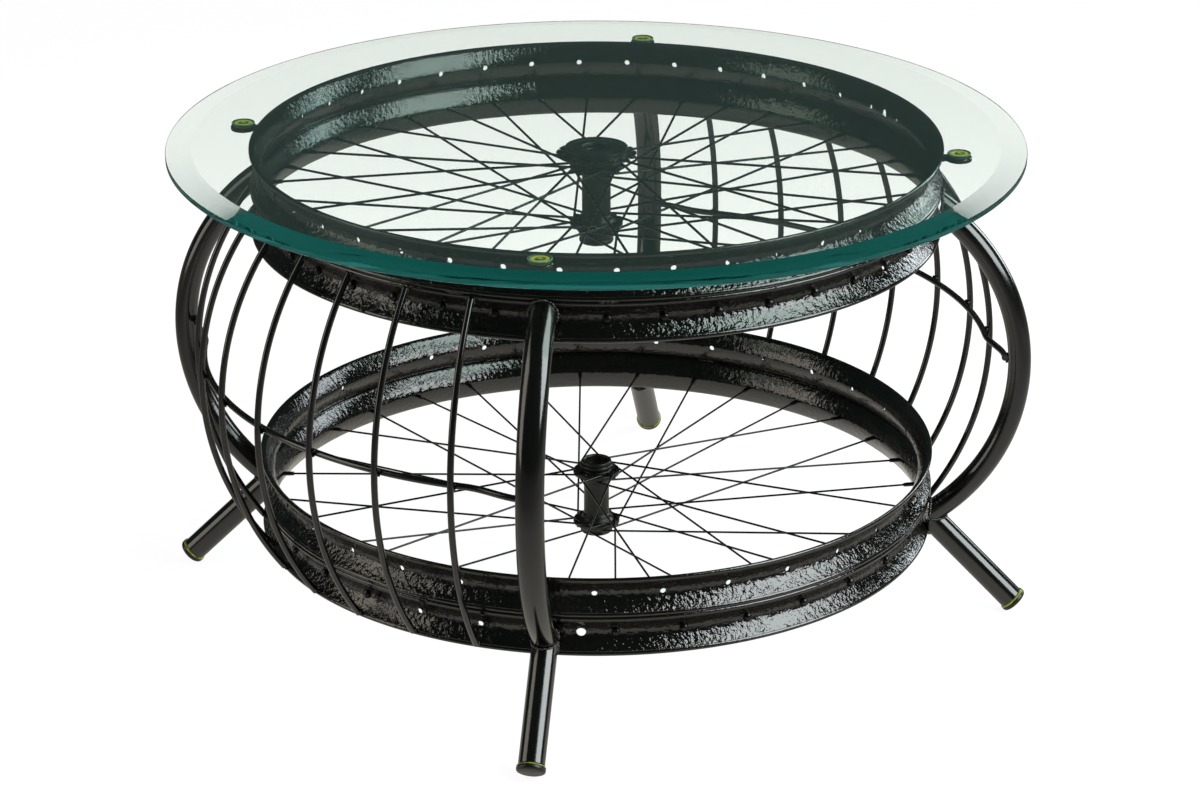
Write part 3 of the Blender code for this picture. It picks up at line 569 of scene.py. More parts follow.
nipple = pattern("nipple_pattern", NIPPLE, NIPPLE_SIDES)
head = pattern("head_pattern", HEAD, HEAD_SIDES)
spoke_tree, given = new_tree("spokes_from_lines", {
    "Radius": 0.001, "Elbow": ELBOW_RADIUS, "Material": spoke_enamel})
lines = add_node(spoke_tree, "GeometryNodeMeshToCurve", {"Mesh": given.outputs["Geometry"]})
bent = add_node(spoke_tree, "GeometryNodeFilletCurve", {
    "Curve": lines, "Count": ELBOW_STEPS, "Radius": given.outputs["Elbow"], "Limit Radius": True},
    mode="POLY")
ring = add_node(spoke_tree, "GeometryNodeCurvePrimitiveCircle", {
    "Resolution": WIRE_SIDES, "Radius": given.outputs["Radius"]})
wire = add_node(spoke_tree, "GeometryNodeCurveToMesh", {
    "Curve": bent, "Profile Curve": ring, "Fill Caps": True})
heading = add_node(spoke_tree, "GeometryNodeInputTangent")
aimed = add_node(spoke_tree, "FunctionNodeAlignRotationToVector", {"Vector": heading}, axis="Z")
parts = [wire]
for shape, at_start, at_end in ((head, 1, 0), (nipple, 0, 1)):
    end = add_node(spoke_tree, "GeometryNodeCurveEndpointSelection", {
        "Start Size": at_start, "End Size": at_end})
    shown = add_node(spoke_tree, "GeometryNodeObjectInfo", {"Object": shape})
    parts.append(add_node(spoke_tree, "GeometryNodeInstanceOnPoints", {
        "Points": bent, "Selection": end, "Instance": shown.outputs["Geometry"], "Rotation": aimed}))
joined = add_node(spoke_tree, "GeometryNodeJoinGeometry", {"Geometry": parts})
close_tree(spoke_tree, given, joined)

# %% Lace the two wheels
SPOKE_END = 0.3103
HALF_FLANGE = 0.0020
UPPER_HUB = 0.39845
UPPER_HALF_SPACING = 0.028
LOWER_HUB = 0.09525
LOWER_HALF_SPACING = 0.026
UPPER_LACING = {"count": UPPER_COUNT, "phase": 18.8, "crosses": 4, "radius": 0.0012,
                "hole_radius": 0.0218, "rim_height": UPPER_SPOKED}
LOWER_LACING = {"count": LOWER_COUNT, "phase": 0.0, "crosses": 3, "radius": 0.0010,
                "hole_radius": 0.0192, "rim_height": LOWER_SPOKED, "missing": (22, 23)}


def line_mesh(name, lines):
    """Mesh of bare edges, one chain for each line."""
    points = []
    edges = []
    for line in lines:
        edges += [(len(points) + k, len(points) + k + 1) for k in range(len(line) - 1)]
        points += line
    mesh = bpy.data.meshes.new(name)
    mesh.from_pydata(points, edges, [])
    return mesh


def lace(name, node, first, flange, count, phase, crosses, radius, hole_radius, rim_height, missing=()):
    """Spokes of one flange. Their heads sit on alternate faces, so that crossing spokes pass each other."""
    lines = []
    for direction, start in ((1, first), (-1, first + 2)):
        for k in range(start, start + count, 4):
            if k % count in missing:
                continue
            turn = math.radians(phase) + TURN * k / count
            hub_turn = turn + direction * TURN * crosses / (count // 2)
            hole = Vector(at_turn(hole_radius, hub_turn, flange))
            face = Vector((0.0, 0.0, direction * (HALF_FLANGE + radius)))
            lines.append([hole - face, hole + face, Vector(at_turn(SPOKE_END, turn, rim_height))])
    keep(line_mesh(name, lines), "spoke_enamel", [node], [(spoke_tree, {"Radius": radius})])


lace("spokes_upper_wheel_top", "upper_spokes_top", 0, UPPER_HUB + UPPER_HALF_SPACING, **UPPER_LACING)
lace("spokes_upper_wheel_low", "upper_spokes_bottom", 1, UPPER_HUB - UPPER_HALF_SPACING, **UPPER_LACING)
lace("spokes_lower_wheel_top", "lower_spokes_top", 0, LOWER_HUB + LOWER_HALF_SPACING, **LOWER_LACING)
lace("spokes_lower_wheel_low", "lower_spokes_bottom", 1, LOWER_HUB - LOWER_HALF_SPACING, **LOWER_LACING)

# %% [markdown]
# ## Hubs and freewheel
# The hubs are turned steel with two flanges each. Their axles were taken out, so the bearing cups are open.
# The upper hub still carries its freewheel: a core that is screwed on, and a ring with 17 teeth that turns.
# Turned pieces are outlines spun round the axis; the tooth gaps are round, where the chain's rollers sat,
# so a disc with a ring of round holes at its edge gives true teeth.

# %% Turn the hubs
HUB_SEGMENTS = 72
HUB_EDGE = 0.0004
CUP_RADIUS = 0.0115
CUP_BEVEL = 0.0012
CUP_DEPTH = 0.0070
BORE_RADIUS = 0.0080
FLANGE_EDGE = 0.0006
# Points of the two ends: (radius past the end's own, share of its length from its tip)
TOP_END = [
    (-0.0024, 0.0), (-0.0016, 0.06), (-0.0014, 0.20), (-0.0022, 0.24), (-0.0022, 0.32),
    (-0.0006, 0.36), (0.0, 0.46), (-0.0001, 0.60), (-0.0010, 0.72), (-0.0022, 0.78),
]
LOW_END = [
    (-0.0004, 0.80), (0.0004, 0.68), (0.0002, 0.50), (-0.0012, 0.40), (-0.0012, 0.28),
    (-0.0002, 0.20), (-0.0002, 0.10), (-0.0010, 0.0),
]
# Points where ends and barrel join the flanges: (radius past the piece's own, distance from the flange)
TOP_JOIN = [(-0.0022, 0.0010), (-0.0012, 0.0002)]
LOW_JOIN = [(0.0006, 0.0008)]
BARREL_JOIN = [(0.0050, 0.0004), (0.0022, 0.0030), (0.0014, 0.0062), (0.0, 0.0072)]


def hub_outline(middle, half_spacing, flange, barrel, end, low_length, top_radius, top_length):
    """Closed outline from the top end down over both flanges to the low end, and back up the bore."""
    high = middle + half_spacing
    low = middle - half_spacing
    top = high + HALF_FLANGE + top_length
    bottom = low - HALF_FLANGE - low_length
    shoulder = [
        (flange - FLANGE_EDGE, HALF_FLANGE), (flange, HALF_FLANGE - FLANGE_EDGE),
        (flange, FLANGE_EDGE - HALF_FLANGE), (flange - FLANGE_EDGE, -HALF_FLANGE)]
    shoulder += [(barrel + r, -HALF_FLANGE - z) for r, z in BARREL_JOIN]
    cup = [
        (CUP_RADIUS + CUP_BEVEL, 0.0), (CUP_RADIUS, CUP_BEVEL), (CUP_RADIUS, CUP_DEPTH),
        (BORE_RADIUS, CUP_DEPTH)]
    return [
        *[(top_radius + r, top - share * top_length) for r, share in TOP_END],
        *[(top_radius + r, high + HALF_FLANGE + z) for r, z in TOP_JOIN],
        *[(r, high + z) for r, z in shoulder], *[(r, low - z) for r, z in reversed(shoulder)],
        *[(end + r, low - HALF_FLANGE - z) for r, z in LOW_JOIN],
        *[(end + r, bottom + share * low_length) for r, share in LOW_END],
        *[(r, bottom + z) for r, z in cup], *[(r, top - z) for r, z in reversed(cup)],
    ]


upper_hub = hub_outline(
    UPPER_HUB, UPPER_HALF_SPACING, flange=0.0250, barrel=0.0135, end=0.0165, low_length=0.0165,
    top_radius=0.0170, top_length=0.0125)
lower_hub = hub_outline(
    LOWER_HUB, LOWER_HALF_SPACING, flange=0.0225, barrel=0.0122, end=0.0156, low_length=0.0088,
    top_radius=0.0160, top_length=0.0104)
keep(turned("hub_upper", soften(upper_hub, HUB_EDGE, 2), HUB_SEGMENTS), "hub_enamel", ["upper_hub"])
keep(turned("hub_lower", soften(lower_hub, HUB_EDGE, 2), HUB_SEGMENTS), "hub_enamel", ["lower_hub"])

# %% Freewheel core and toothed ring
TEETH = 17
CHAIN_PITCH = 0.0127
ROLLER_RADIUS = 0.0039
PITCH_RADIUS = CHAIN_PITCH / 2 / math.sin(math.pi / TEETH)
TOOTH_LOW = 0.4374
TOOTH_HIGH = 0.4400
TOOTH_BEVEL = 0.0008
GAP_DEPTH = 0.0036
GAP_SIDES = 24

core = [
    (0.0232, 0.44555), (0.0232, 0.44275), (0.0205, 0.44275), (0.0205, 0.43275), (0.0240, 0.43275),
    (0.0240, 0.42875), (0.0175, 0.42875), (0.0175, 0.44125), (0.0115, 0.44125), (0.0115, 0.4440),
    (0.0130, 0.4440), (0.0136, 0.44555),
]
toothed = [
    (0.0208, 0.43305), (0.0262, 0.43305), (0.0262, TOOTH_LOW), (0.0360, TOOTH_LOW),
    (0.0377, TOOTH_LOW + TOOTH_BEVEL), (0.0377, TOOTH_HIGH - TOOTH_BEVEL), (0.0360, TOOTH_HIGH),
    (0.0293, TOOTH_HIGH), (0.0293, 0.44555), (0.0235, 0.44555), (0.0235, 0.44245), (0.0208, 0.44245),
]
teeth_tree, given = new_tree("round_tooth_gaps", {
    "Count": TEETH, "Pitch radius": PITCH_RADIUS, "Roller radius": ROLLER_RADIUS,
    "Height": (TOOTH_LOW + TOOTH_HIGH) / 2, "Material": hub_enamel})
rollers = add_node(teeth_tree, "GeometryNodeMeshCircle", {
    "Vertices": given.outputs["Count"], "Radius": given.outputs["Pitch radius"]})
level = add_node(teeth_tree, "ShaderNodeCombineXYZ", {"Z": given.outputs["Height"]})
lifted = add_node(teeth_tree, "GeometryNodeSetPosition", {"Geometry": rollers, "Offset": level})
roller = add_node(teeth_tree, "GeometryNodeMeshCylinder", {
    "Vertices": GAP_SIDES, "Radius": given.outputs["Roller radius"], "Depth": GAP_DEPTH})
gaps = add_node(teeth_tree, "GeometryNodeInstanceOnPoints", {"Points": lifted, "Instance": roller})
real_gaps = add_node(teeth_tree, "GeometryNodeRealizeInstances", {"Geometry": gaps})
cut = add_node(teeth_tree, "GeometryNodeMeshBoolean", {
    "Mesh 1": given.outputs["Geometry"], "Mesh 2": real_gaps}, operation="DIFFERENCE", solver="MANIFOLD")
close_tree(teeth_tree, given, cut)
keep(turned("freewheel_core_turned", soften(core, HUB_EDGE), HUB_SEGMENTS), "hub_enamel", ["freewheel_core"])
keep(turned("sprocket_ring", soften(toothed, HUB_EDGE), 2 * HUB_SEGMENTS), "hub_enamel",
     ["freewheel_sprocket"], [(teeth_tree, {})], "sprocket")

# %% [markdown]
# ## Legs and feet
# Each leg is a slightly flattened tube, bent to an arc that swells out between the wheels.
# At the lower wheel it meets a straight foot tube in a mitre. The arc is one circle, so a ring of points
# is carried along it, and saw cuts make the flat weld faces against the rims and the mitre.

# %% Bend the legs
WELD_RADIUS = 0.3238
ELBOW = 0.09475
MITRE_GAP = 0.00015
LEG_CENTRE = Vector((0.21335, 0.0, 0.251))
LEG_BEND = 0.1889
LEG_DEPTH = 0.0215
LEG_WIDTH = 0.0250
LEG_REACH = math.radians(62.0)
LEG_STEPS = 110
LEG_SIDES = 40
INWARDS = (-1, 0, 0)
UP = (0, 0, 1)
DOWN = (0, 0, -1)
SIDES = {
    side: Matrix.Rotation(k * TURN / 4, 4, "Z") for k, side in enumerate(("right", "back", "left", "front"))}


def set_round(*patterns):
    """Turn copies of (mesh, name, slot, solid) patterns to the four sides, and keep each as a piece."""
    for side, place in SIDES.items():
        for mesh, name, slot, solid in patterns:
            copy = mesh.copy()
            copy.name = name + side
            copy.transform(place)
            keep(copy, slot, [solid + side])


rings = []
for k in range(LEG_STEPS + 1):
    swing = LEG_REACH * (2 * k / LEG_STEPS - 1)
    ray = Vector((math.cos(swing), 0.0, math.sin(swing)))
    ring = []
    for j in range(LEG_SIDES):
        angle = TURN * j / LEG_SIDES
        out = LEG_CENTRE + ray * (LEG_BEND + LEG_DEPTH / 2 * math.cos(angle))
        ring.append((out.x, LEG_WIDTH / 2 * math.sin(angle), out.z))
    rings.append(ring)
leg = loft("leg", rings)
saw_off(leg, (WELD_RADIUS, 0, 0), INWARDS)
saw_off(leg, (0, 0, ELBOW + MITRE_GAP), DOWN)
set_round((leg, "leg_tube_", "tube_enamel", "leg_"))

# %% Foot tubes
# The feet go down at 45 degrees, and both shares of that slope are the same
SLOPE = math.sqrt(0.5)
FOOT_RADIUS = 0.012
FOOT_START = Vector((WELD_RADIUS, 0.0, 0.09375))
FOOT_DOWN = Vector((SLOPE, 0.0, -SLOPE))
FOOT_ACROSS = Vector((SLOPE, 0.0, SLOPE))
FOOT_ABOVE = 0.04
TUBE_SIDES = 48
TUBE_EDGE = 0.0006
PLUG_RADIUS = 0.0133
PLUG_LENGTH = 0.006
PLUG_GAP = 0.0003
PLUG_SINK = 0.001

foot_length = (FOOT_START.z - PLUG_RADIUS * SLOPE + PLUG_SINK) / SLOPE
tube_end = foot_length - PLUG_LENGTH - PLUG_GAP


def along_foot(name, outline):
    """Turned piece whose axis is the foot's: outline points are (radius, distance down the foot)."""
    rings = []
    for r, distance in outline:
        centre = FOOT_START + FOOT_DOWN * distance
        circle = [at_turn(r, TURN * k / TUBE_SIDES, 0) for k in range(TUBE_SIDES)]
        rings.append([centre + FOOT_ACROSS * x + Vector((0, y, 0)) for x, y, z in circle])
    return loft(name, rings)


foot = along_foot("foot", [
    (FOOT_RADIUS, -FOOT_ABOVE), (FOOT_RADIUS, tube_end - TUBE_EDGE), (FOOT_RADIUS - TUBE_EDGE, tube_end)])
saw_off(foot, (WELD_RADIUS, 0, 0), INWARDS)
saw_off(foot, (0, 0, ELBOW - MITRE_GAP), UP)
print("foot and plug", round(foot_length / MM, 1), "mm long")

# %% Plugs in the feet
PLUG_INNER = 0.0102
SEAM_LENGTH = 0.0014

plug = along_foot("plug", [
    (PLUG_INNER, tube_end - 0.004), (PLUG_INNER, tube_end + 0.0002),
    (FOOT_RADIUS + 0.0002, tube_end + 0.0002), (PLUG_RADIUS - 0.0005, tube_end + 0.0006),
    (PLUG_RADIUS - 0.0001, tube_end + 0.0012), (PLUG_RADIUS - 0.0004, tube_end + 0.0017),
    (PLUG_RADIUS - 0.0003, tube_end + 0.0021), (PLUG_RADIUS, tube_end + 0.0027),
    (PLUG_RADIUS - 0.0002, foot_length - 0.0016), (PLUG_RADIUS - 0.0009, foot_length - 0.0006),
    (PLUG_RADIUS - 0.0022, foot_length)])
saw_off(plug, (0, 0, 0), DOWN)
seam_shares = []
for vertex in plug.vertices:
    down = (vertex.co - FOOT_START).dot(FOOT_DOWN)
    seam_shares.append(1.0 if tube_end < down < tube_end + SEAM_LENGTH else 0.0)
plug.attributes.new("seam", "FLOAT", "POINT").data.foreach_set("value", seam_shares)
set_round((foot, "foot_tube_", "tube_enamel", "foot_"), (plug, "foot_end_", "plug_rubber", "foot_plug_"))

# %% [markdown]
# ## Cages
# Seven thin rods bow out between the wheels in two opposite quarters, and one level rod joins each seven from
# inside. They follow lines, so the lines are drawn as bare edges and one tree gives them their round section.

# %% Tree that makes rods from lines
ROD_RADIUS = 0.003

rod_tree, given = new_tree("rods_from_lines", {"Radius": ROD_RADIUS, "Sides": 16, "Material": tube_enamel})
lines = add_node(rod_tree, "GeometryNodeMeshToCurve", {"Mesh": given.outputs["Geometry"]})
ring = add_node(rod_tree, "GeometryNodeCurvePrimitiveCircle", {
    "Resolution": given.outputs["Sides"], "Radius": given.outputs["Radius"]})
bar = add_node(rod_tree, "GeometryNodeCurveToMesh", {
    "Curve": lines, "Profile Curve": ring, "Fill Caps": True})
close_tree(rod_tree, given, bar)

# %% Bend the rods
ROD_CENTRE = Vector((0.10755, 0.0, 0.24858))
ROD_BEND = 0.27145
ROD_LOW = 0.0845
ROD_HIGH = 0.41265
ROD_STEPS = 48
ROD_COUNT = 7
QUARTER = 90.0
ROD_PITCH = QUARTER / (ROD_COUNT + 1)
ROD_GAP = 0.0003
ARC_HEIGHT = 0.259
ARC_FLARE = 0.85
ARC_STEP = 0.75
CAGES = {"back_right": 0.0, "front_left": 180.0}

rod_reach = math.asin((ROD_HIGH - ROD_LOW) / 2 / ROD_BEND)
arc_inside = ROD_CENTRE.x + ROD_BEND - 2 * ROD_RADIUS - ROD_GAP
arc_seat = LEG_CENTRE.x + LEG_BEND - LEG_DEPTH / 2 - ROD_RADIUS - ROD_GAP


def rod_turns(first):
    """Turns of a cage's rods in radians; the cage starts at this turn in degrees."""
    return [math.radians(first + ROD_PITCH * (k + 1)) for k in range(ROD_COUNT)]


def rod_line(turn):
    """Bowed line of one rod, from the lower wheel up."""
    line = []
    for k in range(ROD_STEPS + 1):
        swing = rod_reach * (2 * k / ROD_STEPS - 1)
        height = ROD_CENTRE.z + ROD_BEND * math.sin(swing)
        line.append(at_turn(ROD_CENTRE.x + ROD_BEND * math.cos(swing), turn, height))
    return line


def arc_line(first):
    """Level line inside a cage that flares out to touch the legs."""
    flare = ROD_PITCH * ARC_FLARE
    end = math.degrees(ROD_RADIUS / arc_seat)
    steps = round((QUARTER - 2 * end) / ARC_STEP)
    line = []
    for k in range(steps + 1):
        turn = end + (QUARTER - 2 * end) * k / steps
        share = min(1.0, max(0.0, (flare - min(turn, QUARTER - turn)) / (flare - end)))
        r = arc_inside + (arc_seat - arc_inside) * (1 - math.cos(math.pi * share)) / 2
        line.append(at_turn(r, math.radians(first + turn), ARC_HEIGHT))
    return line


for cage, first in CAGES.items():
    lines = [rod_line(turn) for turn in rod_turns(first)] + [arc_line(first)]
    nodes = ["rod_%s_%d" % (cage, k + 1) for k in range(ROD_COUNT)] + ["arc_" + cage]
    keep(line_mesh("cage_" + cage, lines), "tube_enamel", nodes, [(rod_tree, {})])

# %% [markdown]
# ## Pads and tabs
# Four round steel tabs are welded to the upper wheel's edge, and a soft round pad sits on each.
# Both are small plates with rounded edges, made at the right-hand place and turned to the other three.

# %% Steel tabs
PAD_PLACE = 0.3375
TAB_RADIUS = 0.012
TAB_NECK = 0.005
TAB_ROOT = WELD_RADIUS - 0.0008
TAB_LOW = 0.4470
TAB_HIGH = 0.4510
TAB_EDGE = 0.0006
TAB_STEPS = 40

neck = math.asin(TAB_NECK / TAB_RADIUS)
tab_outline = [(TAB_ROOT, -TAB_NECK)]
for k in range(TAB_STEPS + 1):
    angle = -math.pi + neck + 2 * (math.pi - neck) * k / TAB_STEPS
    tab_outline.append((PAD_PLACE + TAB_RADIUS * math.cos(angle), TAB_RADIUS * math.sin(angle)))
tab_outline.append((TAB_ROOT, TAB_NECK))


def tab_ring(inset, height):
    """The tab's outline at a height, pulled in towards the tab's middle by about this much."""
    share = 1 - inset / TAB_RADIUS
    return [((x - PAD_PLACE) * share + PAD_PLACE, y * share, height) for x, y in tab_outline]


def four_of(name, mesh):
    """One mesh with a copy of the given one on each side of the table."""
    bm = bmesh.new()
    for place in SIDES.values():
        copy = mesh.copy()
        copy.transform(place)
        bm.from_mesh(copy)
    joined = bpy.data.meshes.new(name)
    bm.to_mesh(joined)
    bm.free()
    return joined


tab = loft("tab", [
    tab_ring(TAB_EDGE, TAB_LOW), tab_ring(0.0, TAB_LOW + TAB_EDGE),
    tab_ring(0.0, TAB_HIGH - TAB_EDGE), tab_ring(TAB_EDGE, TAB_HIGH)])
keep(four_of("pad_tabs", tab), "tube_enamel", ["pad_tab_" + side for side in SIDES])

# %% Soft pads
PAD_RADIUS = 0.011
PAD_LOW = 0.4513
PAD_HIGH = 0.4547
PAD_SEGMENTS = 48

pad = turned("pad", [
    (0.0004, PAD_LOW), (PAD_RADIUS - 0.0008, PAD_LOW), (PAD_RADIUS, PAD_LOW + 0.0008),
    (PAD_RADIUS, PAD_HIGH - 0.0009), (PAD_RADIUS - 0.0004, PAD_HIGH - 0.0002),
    (PAD_RADIUS - 0.0010, PAD_HIGH), (PAD_RADIUS - 0.0016, PAD_HIGH - 0.0002),
    (PAD_RADIUS - 0.0021, PAD_HIGH - 0.0009), (0.0056, PAD_HIGH - 0.0007), (0.0048, PAD_HIGH - 0.0015),
    (0.0034, PAD_HIGH - 0.0015), (0.0026, PAD_HIGH - 0.0006), (0.0014, PAD_HIGH - 0.0001),
    (0.0004, PAD_HIGH)], PAD_SEGMENTS)
pad.transform(Matrix.Translation((PAD_PLACE, 0, 0)))
four_pads = four_of("glass_pads", pad)
ring_shares = []
for vertex in four_pads.vertices:
    across, out = sorted((abs(vertex.co.x), abs(vertex.co.y)))
    ring_shares.append(math.hypot(across, out - PAD_PLACE) / PAD_RADIUS)
four_pads.attributes.new("ring_share", "FLOAT", "POINT").data.foreach_set("value", ring_shares)
keep(four_pads, "pad_rubber", ["glass_pad_" + side for side in SIDES])

# %% [markdown]
# ## Weld beads
# The table was welded by hand: short beads hold the legs, rods, arcs and tabs, and tacks join the rims in
# pairs. A bead is a row of small overlapping drops of metal, so a tree walks along each weld line and drops
# rounded grains of uneven size on it.

# %% Tree that lays weld beads along lines
bead_tree, given = new_tree("weld_beads", {
    "Bead radius": 0.0018, "Step": 0.0016, "Jitter": 0.0004, "Seed": 3, "Material": rim_enamel})
lines = add_node(bead_tree, "GeometryNodeMeshToCurve", {"Mesh": given.outputs["Geometry"]})
dots = add_node(bead_tree, "GeometryNodeResampleCurve", {
    "Curve": lines, "Length": given.outputs["Step"]}, mode="LENGTH")
low = add_node(bead_tree, "ShaderNodeMath", {0: given.outputs["Jitter"], 1: -1.0}, operation="MULTIPLY")
wander = add_node(bead_tree, "FunctionNodeRandomValue", {
    0: low, 1: given.outputs["Jitter"], "Seed": given.outputs["Seed"]}, data_type="FLOAT_VECTOR")
shaken = add_node(bead_tree, "GeometryNodeSetPosition", {"Geometry": dots, "Offset": wander})
size = add_node(bead_tree, "FunctionNodeRandomValue", {
    2: 0.65, 3: 1.15, "Seed": given.outputs["Seed"]}, data_type="FLOAT")
drop = add_node(bead_tree, "GeometryNodeMeshIcoSphere", {
    "Radius": given.outputs["Bead radius"], "Subdivisions": 2})
drops = add_node(bead_tree, "GeometryNodeInstanceOnPoints", {
    "Points": shaken, "Instance": drop, "Scale": size})
close_tree(bead_tree, given, drops)

# %% Weld lines of the legs, feet and tabs
BEAD_OUT = 0.0004
SEAM_STEPS = 24
# First and last angle round the leg's section, and whether the leg's upper or lower end is meant
UPPER_SEAM = (-150, 150, 1)
LOWER_SEAM = (95, 265, -1)
FOOT_SEAM = range(-86, 87, 4)
MITRE_BACK = 0.001
TAB_BEAD_RISE = 0.0012
TAB_BEAD_END = 0.0018

long_beads = []
short_beads = []


def tube_seam(first, last, up):
    """Line where a leg tube meets the rims: angles run round the tube's section."""
    line = []
    for k in range(SEAM_STEPS + 1):
        angle = math.radians(first + (last - first) * k / SEAM_STEPS)
        reach = LEG_BEND + LEG_DEPTH / 2 * math.cos(angle)
        swing = up * math.acos((WELD_RADIUS - LEG_CENTRE.x) / reach)
        height = LEG_CENTRE.z + reach * math.sin(swing)
        line.append((WELD_RADIUS + BEAD_OUT, LEG_WIDTH / 2 * math.sin(angle), height))
    return line


slant = FOOT_RADIUS * math.sqrt(2)
mitre = []
under = []
for degrees in FOOT_SEAM:
    angle = math.radians(degrees)
    across = FOOT_RADIUS * math.sin(angle)
    mitre.append((FOOT_START.x - MITRE_BACK + slant * math.cos(angle), across, ELBOW))
    under.append((WELD_RADIUS + BEAD_OUT, across, FOOT_START.z - slant * math.cos(angle)))
beside_tab = [
    [(WELD_RADIUS + out, side * (TAB_NECK + BEAD_OUT), TAB_LOW + TAB_BEAD_RISE)
     for out in (-BEAD_OUT, TAB_BEAD_END)]
    for side in (-1, 1)]
for place in SIDES.values():
    for line in (tube_seam(*UPPER_SEAM), tube_seam(*LOWER_SEAM), under):
        long_beads.append([tuple(place @ Vector(point)) for point in line])
    for line in (mitre, *beside_tab):
        short_beads.append([tuple(place @ Vector(point)) for point in line])
print("weld lines so far:", len(long_beads), "long,", len(short_beads), "short")

# %% Weld lines of the cages and rims
TACKS = [14.0, 71.0, 112.0, 158.0, 203.0, 238.0, 262.0, 288.0, 311.0, 342.0]
TACK_LENGTH = math.radians(2.6)
TACK_STEPS = 4
TACK_SHIFT = 40.0
TACK_DEPTH = 0.0016
# A rod's end has a bead on each side, that starts past the end and runs back along the rod
ROD_BEAD_ASIDE = 0.0030
ROD_BEAD_PAST = 0.0010
ROD_BEAD_BACK = 0.0030
ROD_BEAD_OUT = 0.0012
# The arc has a bead over and under itself at each rod, and an upright one at each end
ARC_BEAD_OUT = 0.0030
ARC_BEAD_RISE = 0.0024
ARC_BEAD_HALF = 0.0026
ARC_END_TURN = 0.7
ARC_END_OUT = 0.0020
ARC_END_HALF = 0.004

for first in CAGES.values():
    for turn in rod_turns(first):
        for height, inward in ((ROD_HIGH, -1), (ROD_LOW, 1)):
            for side in (-1, 1):
                beside = turn + side * ROD_BEAD_ASIDE / RIM_RADIUS
                short_beads.append([
                    at_turn(WELD_RADIUS, beside, height - inward * ROD_BEAD_PAST),
                    at_turn(WELD_RADIUS + ROD_BEAD_OUT, beside, height + inward * ROD_BEAD_BACK)])
        for rise in (-ARC_BEAD_RISE, ARC_BEAD_RISE):
            short_beads.append([
                at_turn(arc_inside + ARC_BEAD_OUT, turn + half / arc_inside, ARC_HEIGHT + rise)
                for half in (-ARC_BEAD_HALF, ARC_BEAD_HALF)])
    for turn in (first + ARC_END_TURN, first + QUARTER - ARC_END_TURN):
        short_beads.append([
            at_turn(arc_seat + ARC_END_OUT, math.radians(turn), ARC_HEIGHT + half)
            for half in (-ARC_END_HALF, ARC_END_HALF)])
for turn in TACKS:
    for joint in ((UPPER_TOP + UPPER_SPOKED) / 2, (LOWER_TOP + LOWER_SPOKED) / 2):
        start = math.radians(turn + TACK_SHIFT * joint)
        long_beads.append([
            at_turn(RIM_RADIUS - TACK_DEPTH, start + TACK_LENGTH * k / TACK_STEPS, joint)
            for k in range(TACK_STEPS + 1)])
keep(line_mesh("weld_beads_long", long_beads), "rim_enamel", steps=[(bead_tree, {})])
keep(line_mesh("weld_beads_short", short_beads), "rim_enamel", steps=[(bead_tree, {
    "Bead radius": 0.0013, "Step": 0.0012, "Jitter": 0.0003, "Seed": 5})])

# %% [markdown]
# ## Glass top
# A disc of 8 mm float glass with a wide ground bevel on its upper edge. Light that enters the bevel is
# trapped and travels sideways inside the glass, which is why the edge looks deep green. True thickness, small
# arrises and absorption inside give that by themselves, so the mesh has to be exact and finely turned.

# %% Turn the glass
GLASS_RADIUS = 0.400
GLASS_LOW = 0.4550
GLASS_HIGH = 0.4630
GLASS_CAP = 0.02
BEVEL_WIDTH = 0.024
BEVEL_DROP = 0.003
ARRIS = 0.0005
GLASS_SEGMENTS = 1200
GLASS_SHARP_ANGLE = 2.0

glass_profile = [
    (GLASS_CAP, GLASS_LOW), (GLASS_RADIUS - ARRIS, GLASS_LOW), (GLASS_RADIUS, GLASS_LOW + ARRIS),
    (GLASS_RADIUS, GLASS_HIGH - BEVEL_DROP - ARRIS),
    (GLASS_RADIUS - ARRIS, GLASS_HIGH - BEVEL_DROP + ARRIS / 4),
    (GLASS_RADIUS - BEVEL_WIDTH, GLASS_HIGH), (GLASS_CAP, GLASS_HIGH)]
glass_disc = stacked("glass_disc", glass_profile, GLASS_SEGMENTS)
glass_piece = keep(glass_disc, "glass", ["glass_top"], body="glass")
glass_piece.data.set_sharp_from_angle(angle=math.radians(GLASS_SHARP_ANGLE))

# %% [markdown]
# ## Floor
# The photograph is a cut-out on white, taken in a dark studio. A white floor fills the picture and shows in
# every downward reflection, so the black paint looks dark grey where it faces down and black where it faces
# up. One level can't serve all of that, so the floor asks how a ray has come: straight from the camera,
# through the glass, from a reflection, or from inside the glass, where light is trapped and turned back
# about a hundred times before it leaves at the far edge.

# %% Floor sheet
GLASS_BOUNCES = 160
SEE_THROUGH_BOUNCES = 24
FLOOR_HALF = 30.0

scene.cycles.max_bounces = GLASS_BOUNCES
scene.cycles.glossy_bounces = GLASS_BOUNCES
scene.cycles.transmission_bounces = SEE_THROUGH_BOUNCES
corners = [(x * FLOOR_HALF, y * FLOOR_HALF, 0) for x, y in ((-1, -1), (1, -1), (1, 1), (-1, 1))]
floor_mesh = bpy.data.meshes.new("floor")
floor_mesh.from_pydata(corners, [], [(0, 1, 2, 3)])
floor = bpy.data.objects.new("floor", floor_mesh)
scene.collection.objects.link(floor)
print("floor", 2 * FLOOR_HALF, "m wide")

# %% White paper on the floor
# Matt white paper that keeps only a share of the table's shadow
SHADOW_SHARE = 0.16
PAPER_WHITE = 1.10
PAPER_TINT = "#fff8ea"
# The floor in reflections is a painted pool of light: bright close to the table, dark farther off.
# Light in the glass gets a part of it
PAINTED_POOL_NEAR = 0.60
PAINTED_POOL_FAR = 0.08
NEAR_DISTANCE = 0.38
FAR_DISTANCE = 1.20
TRAPPED_SHARE = 0.20
TRAPPED_LEVEL = 0.09
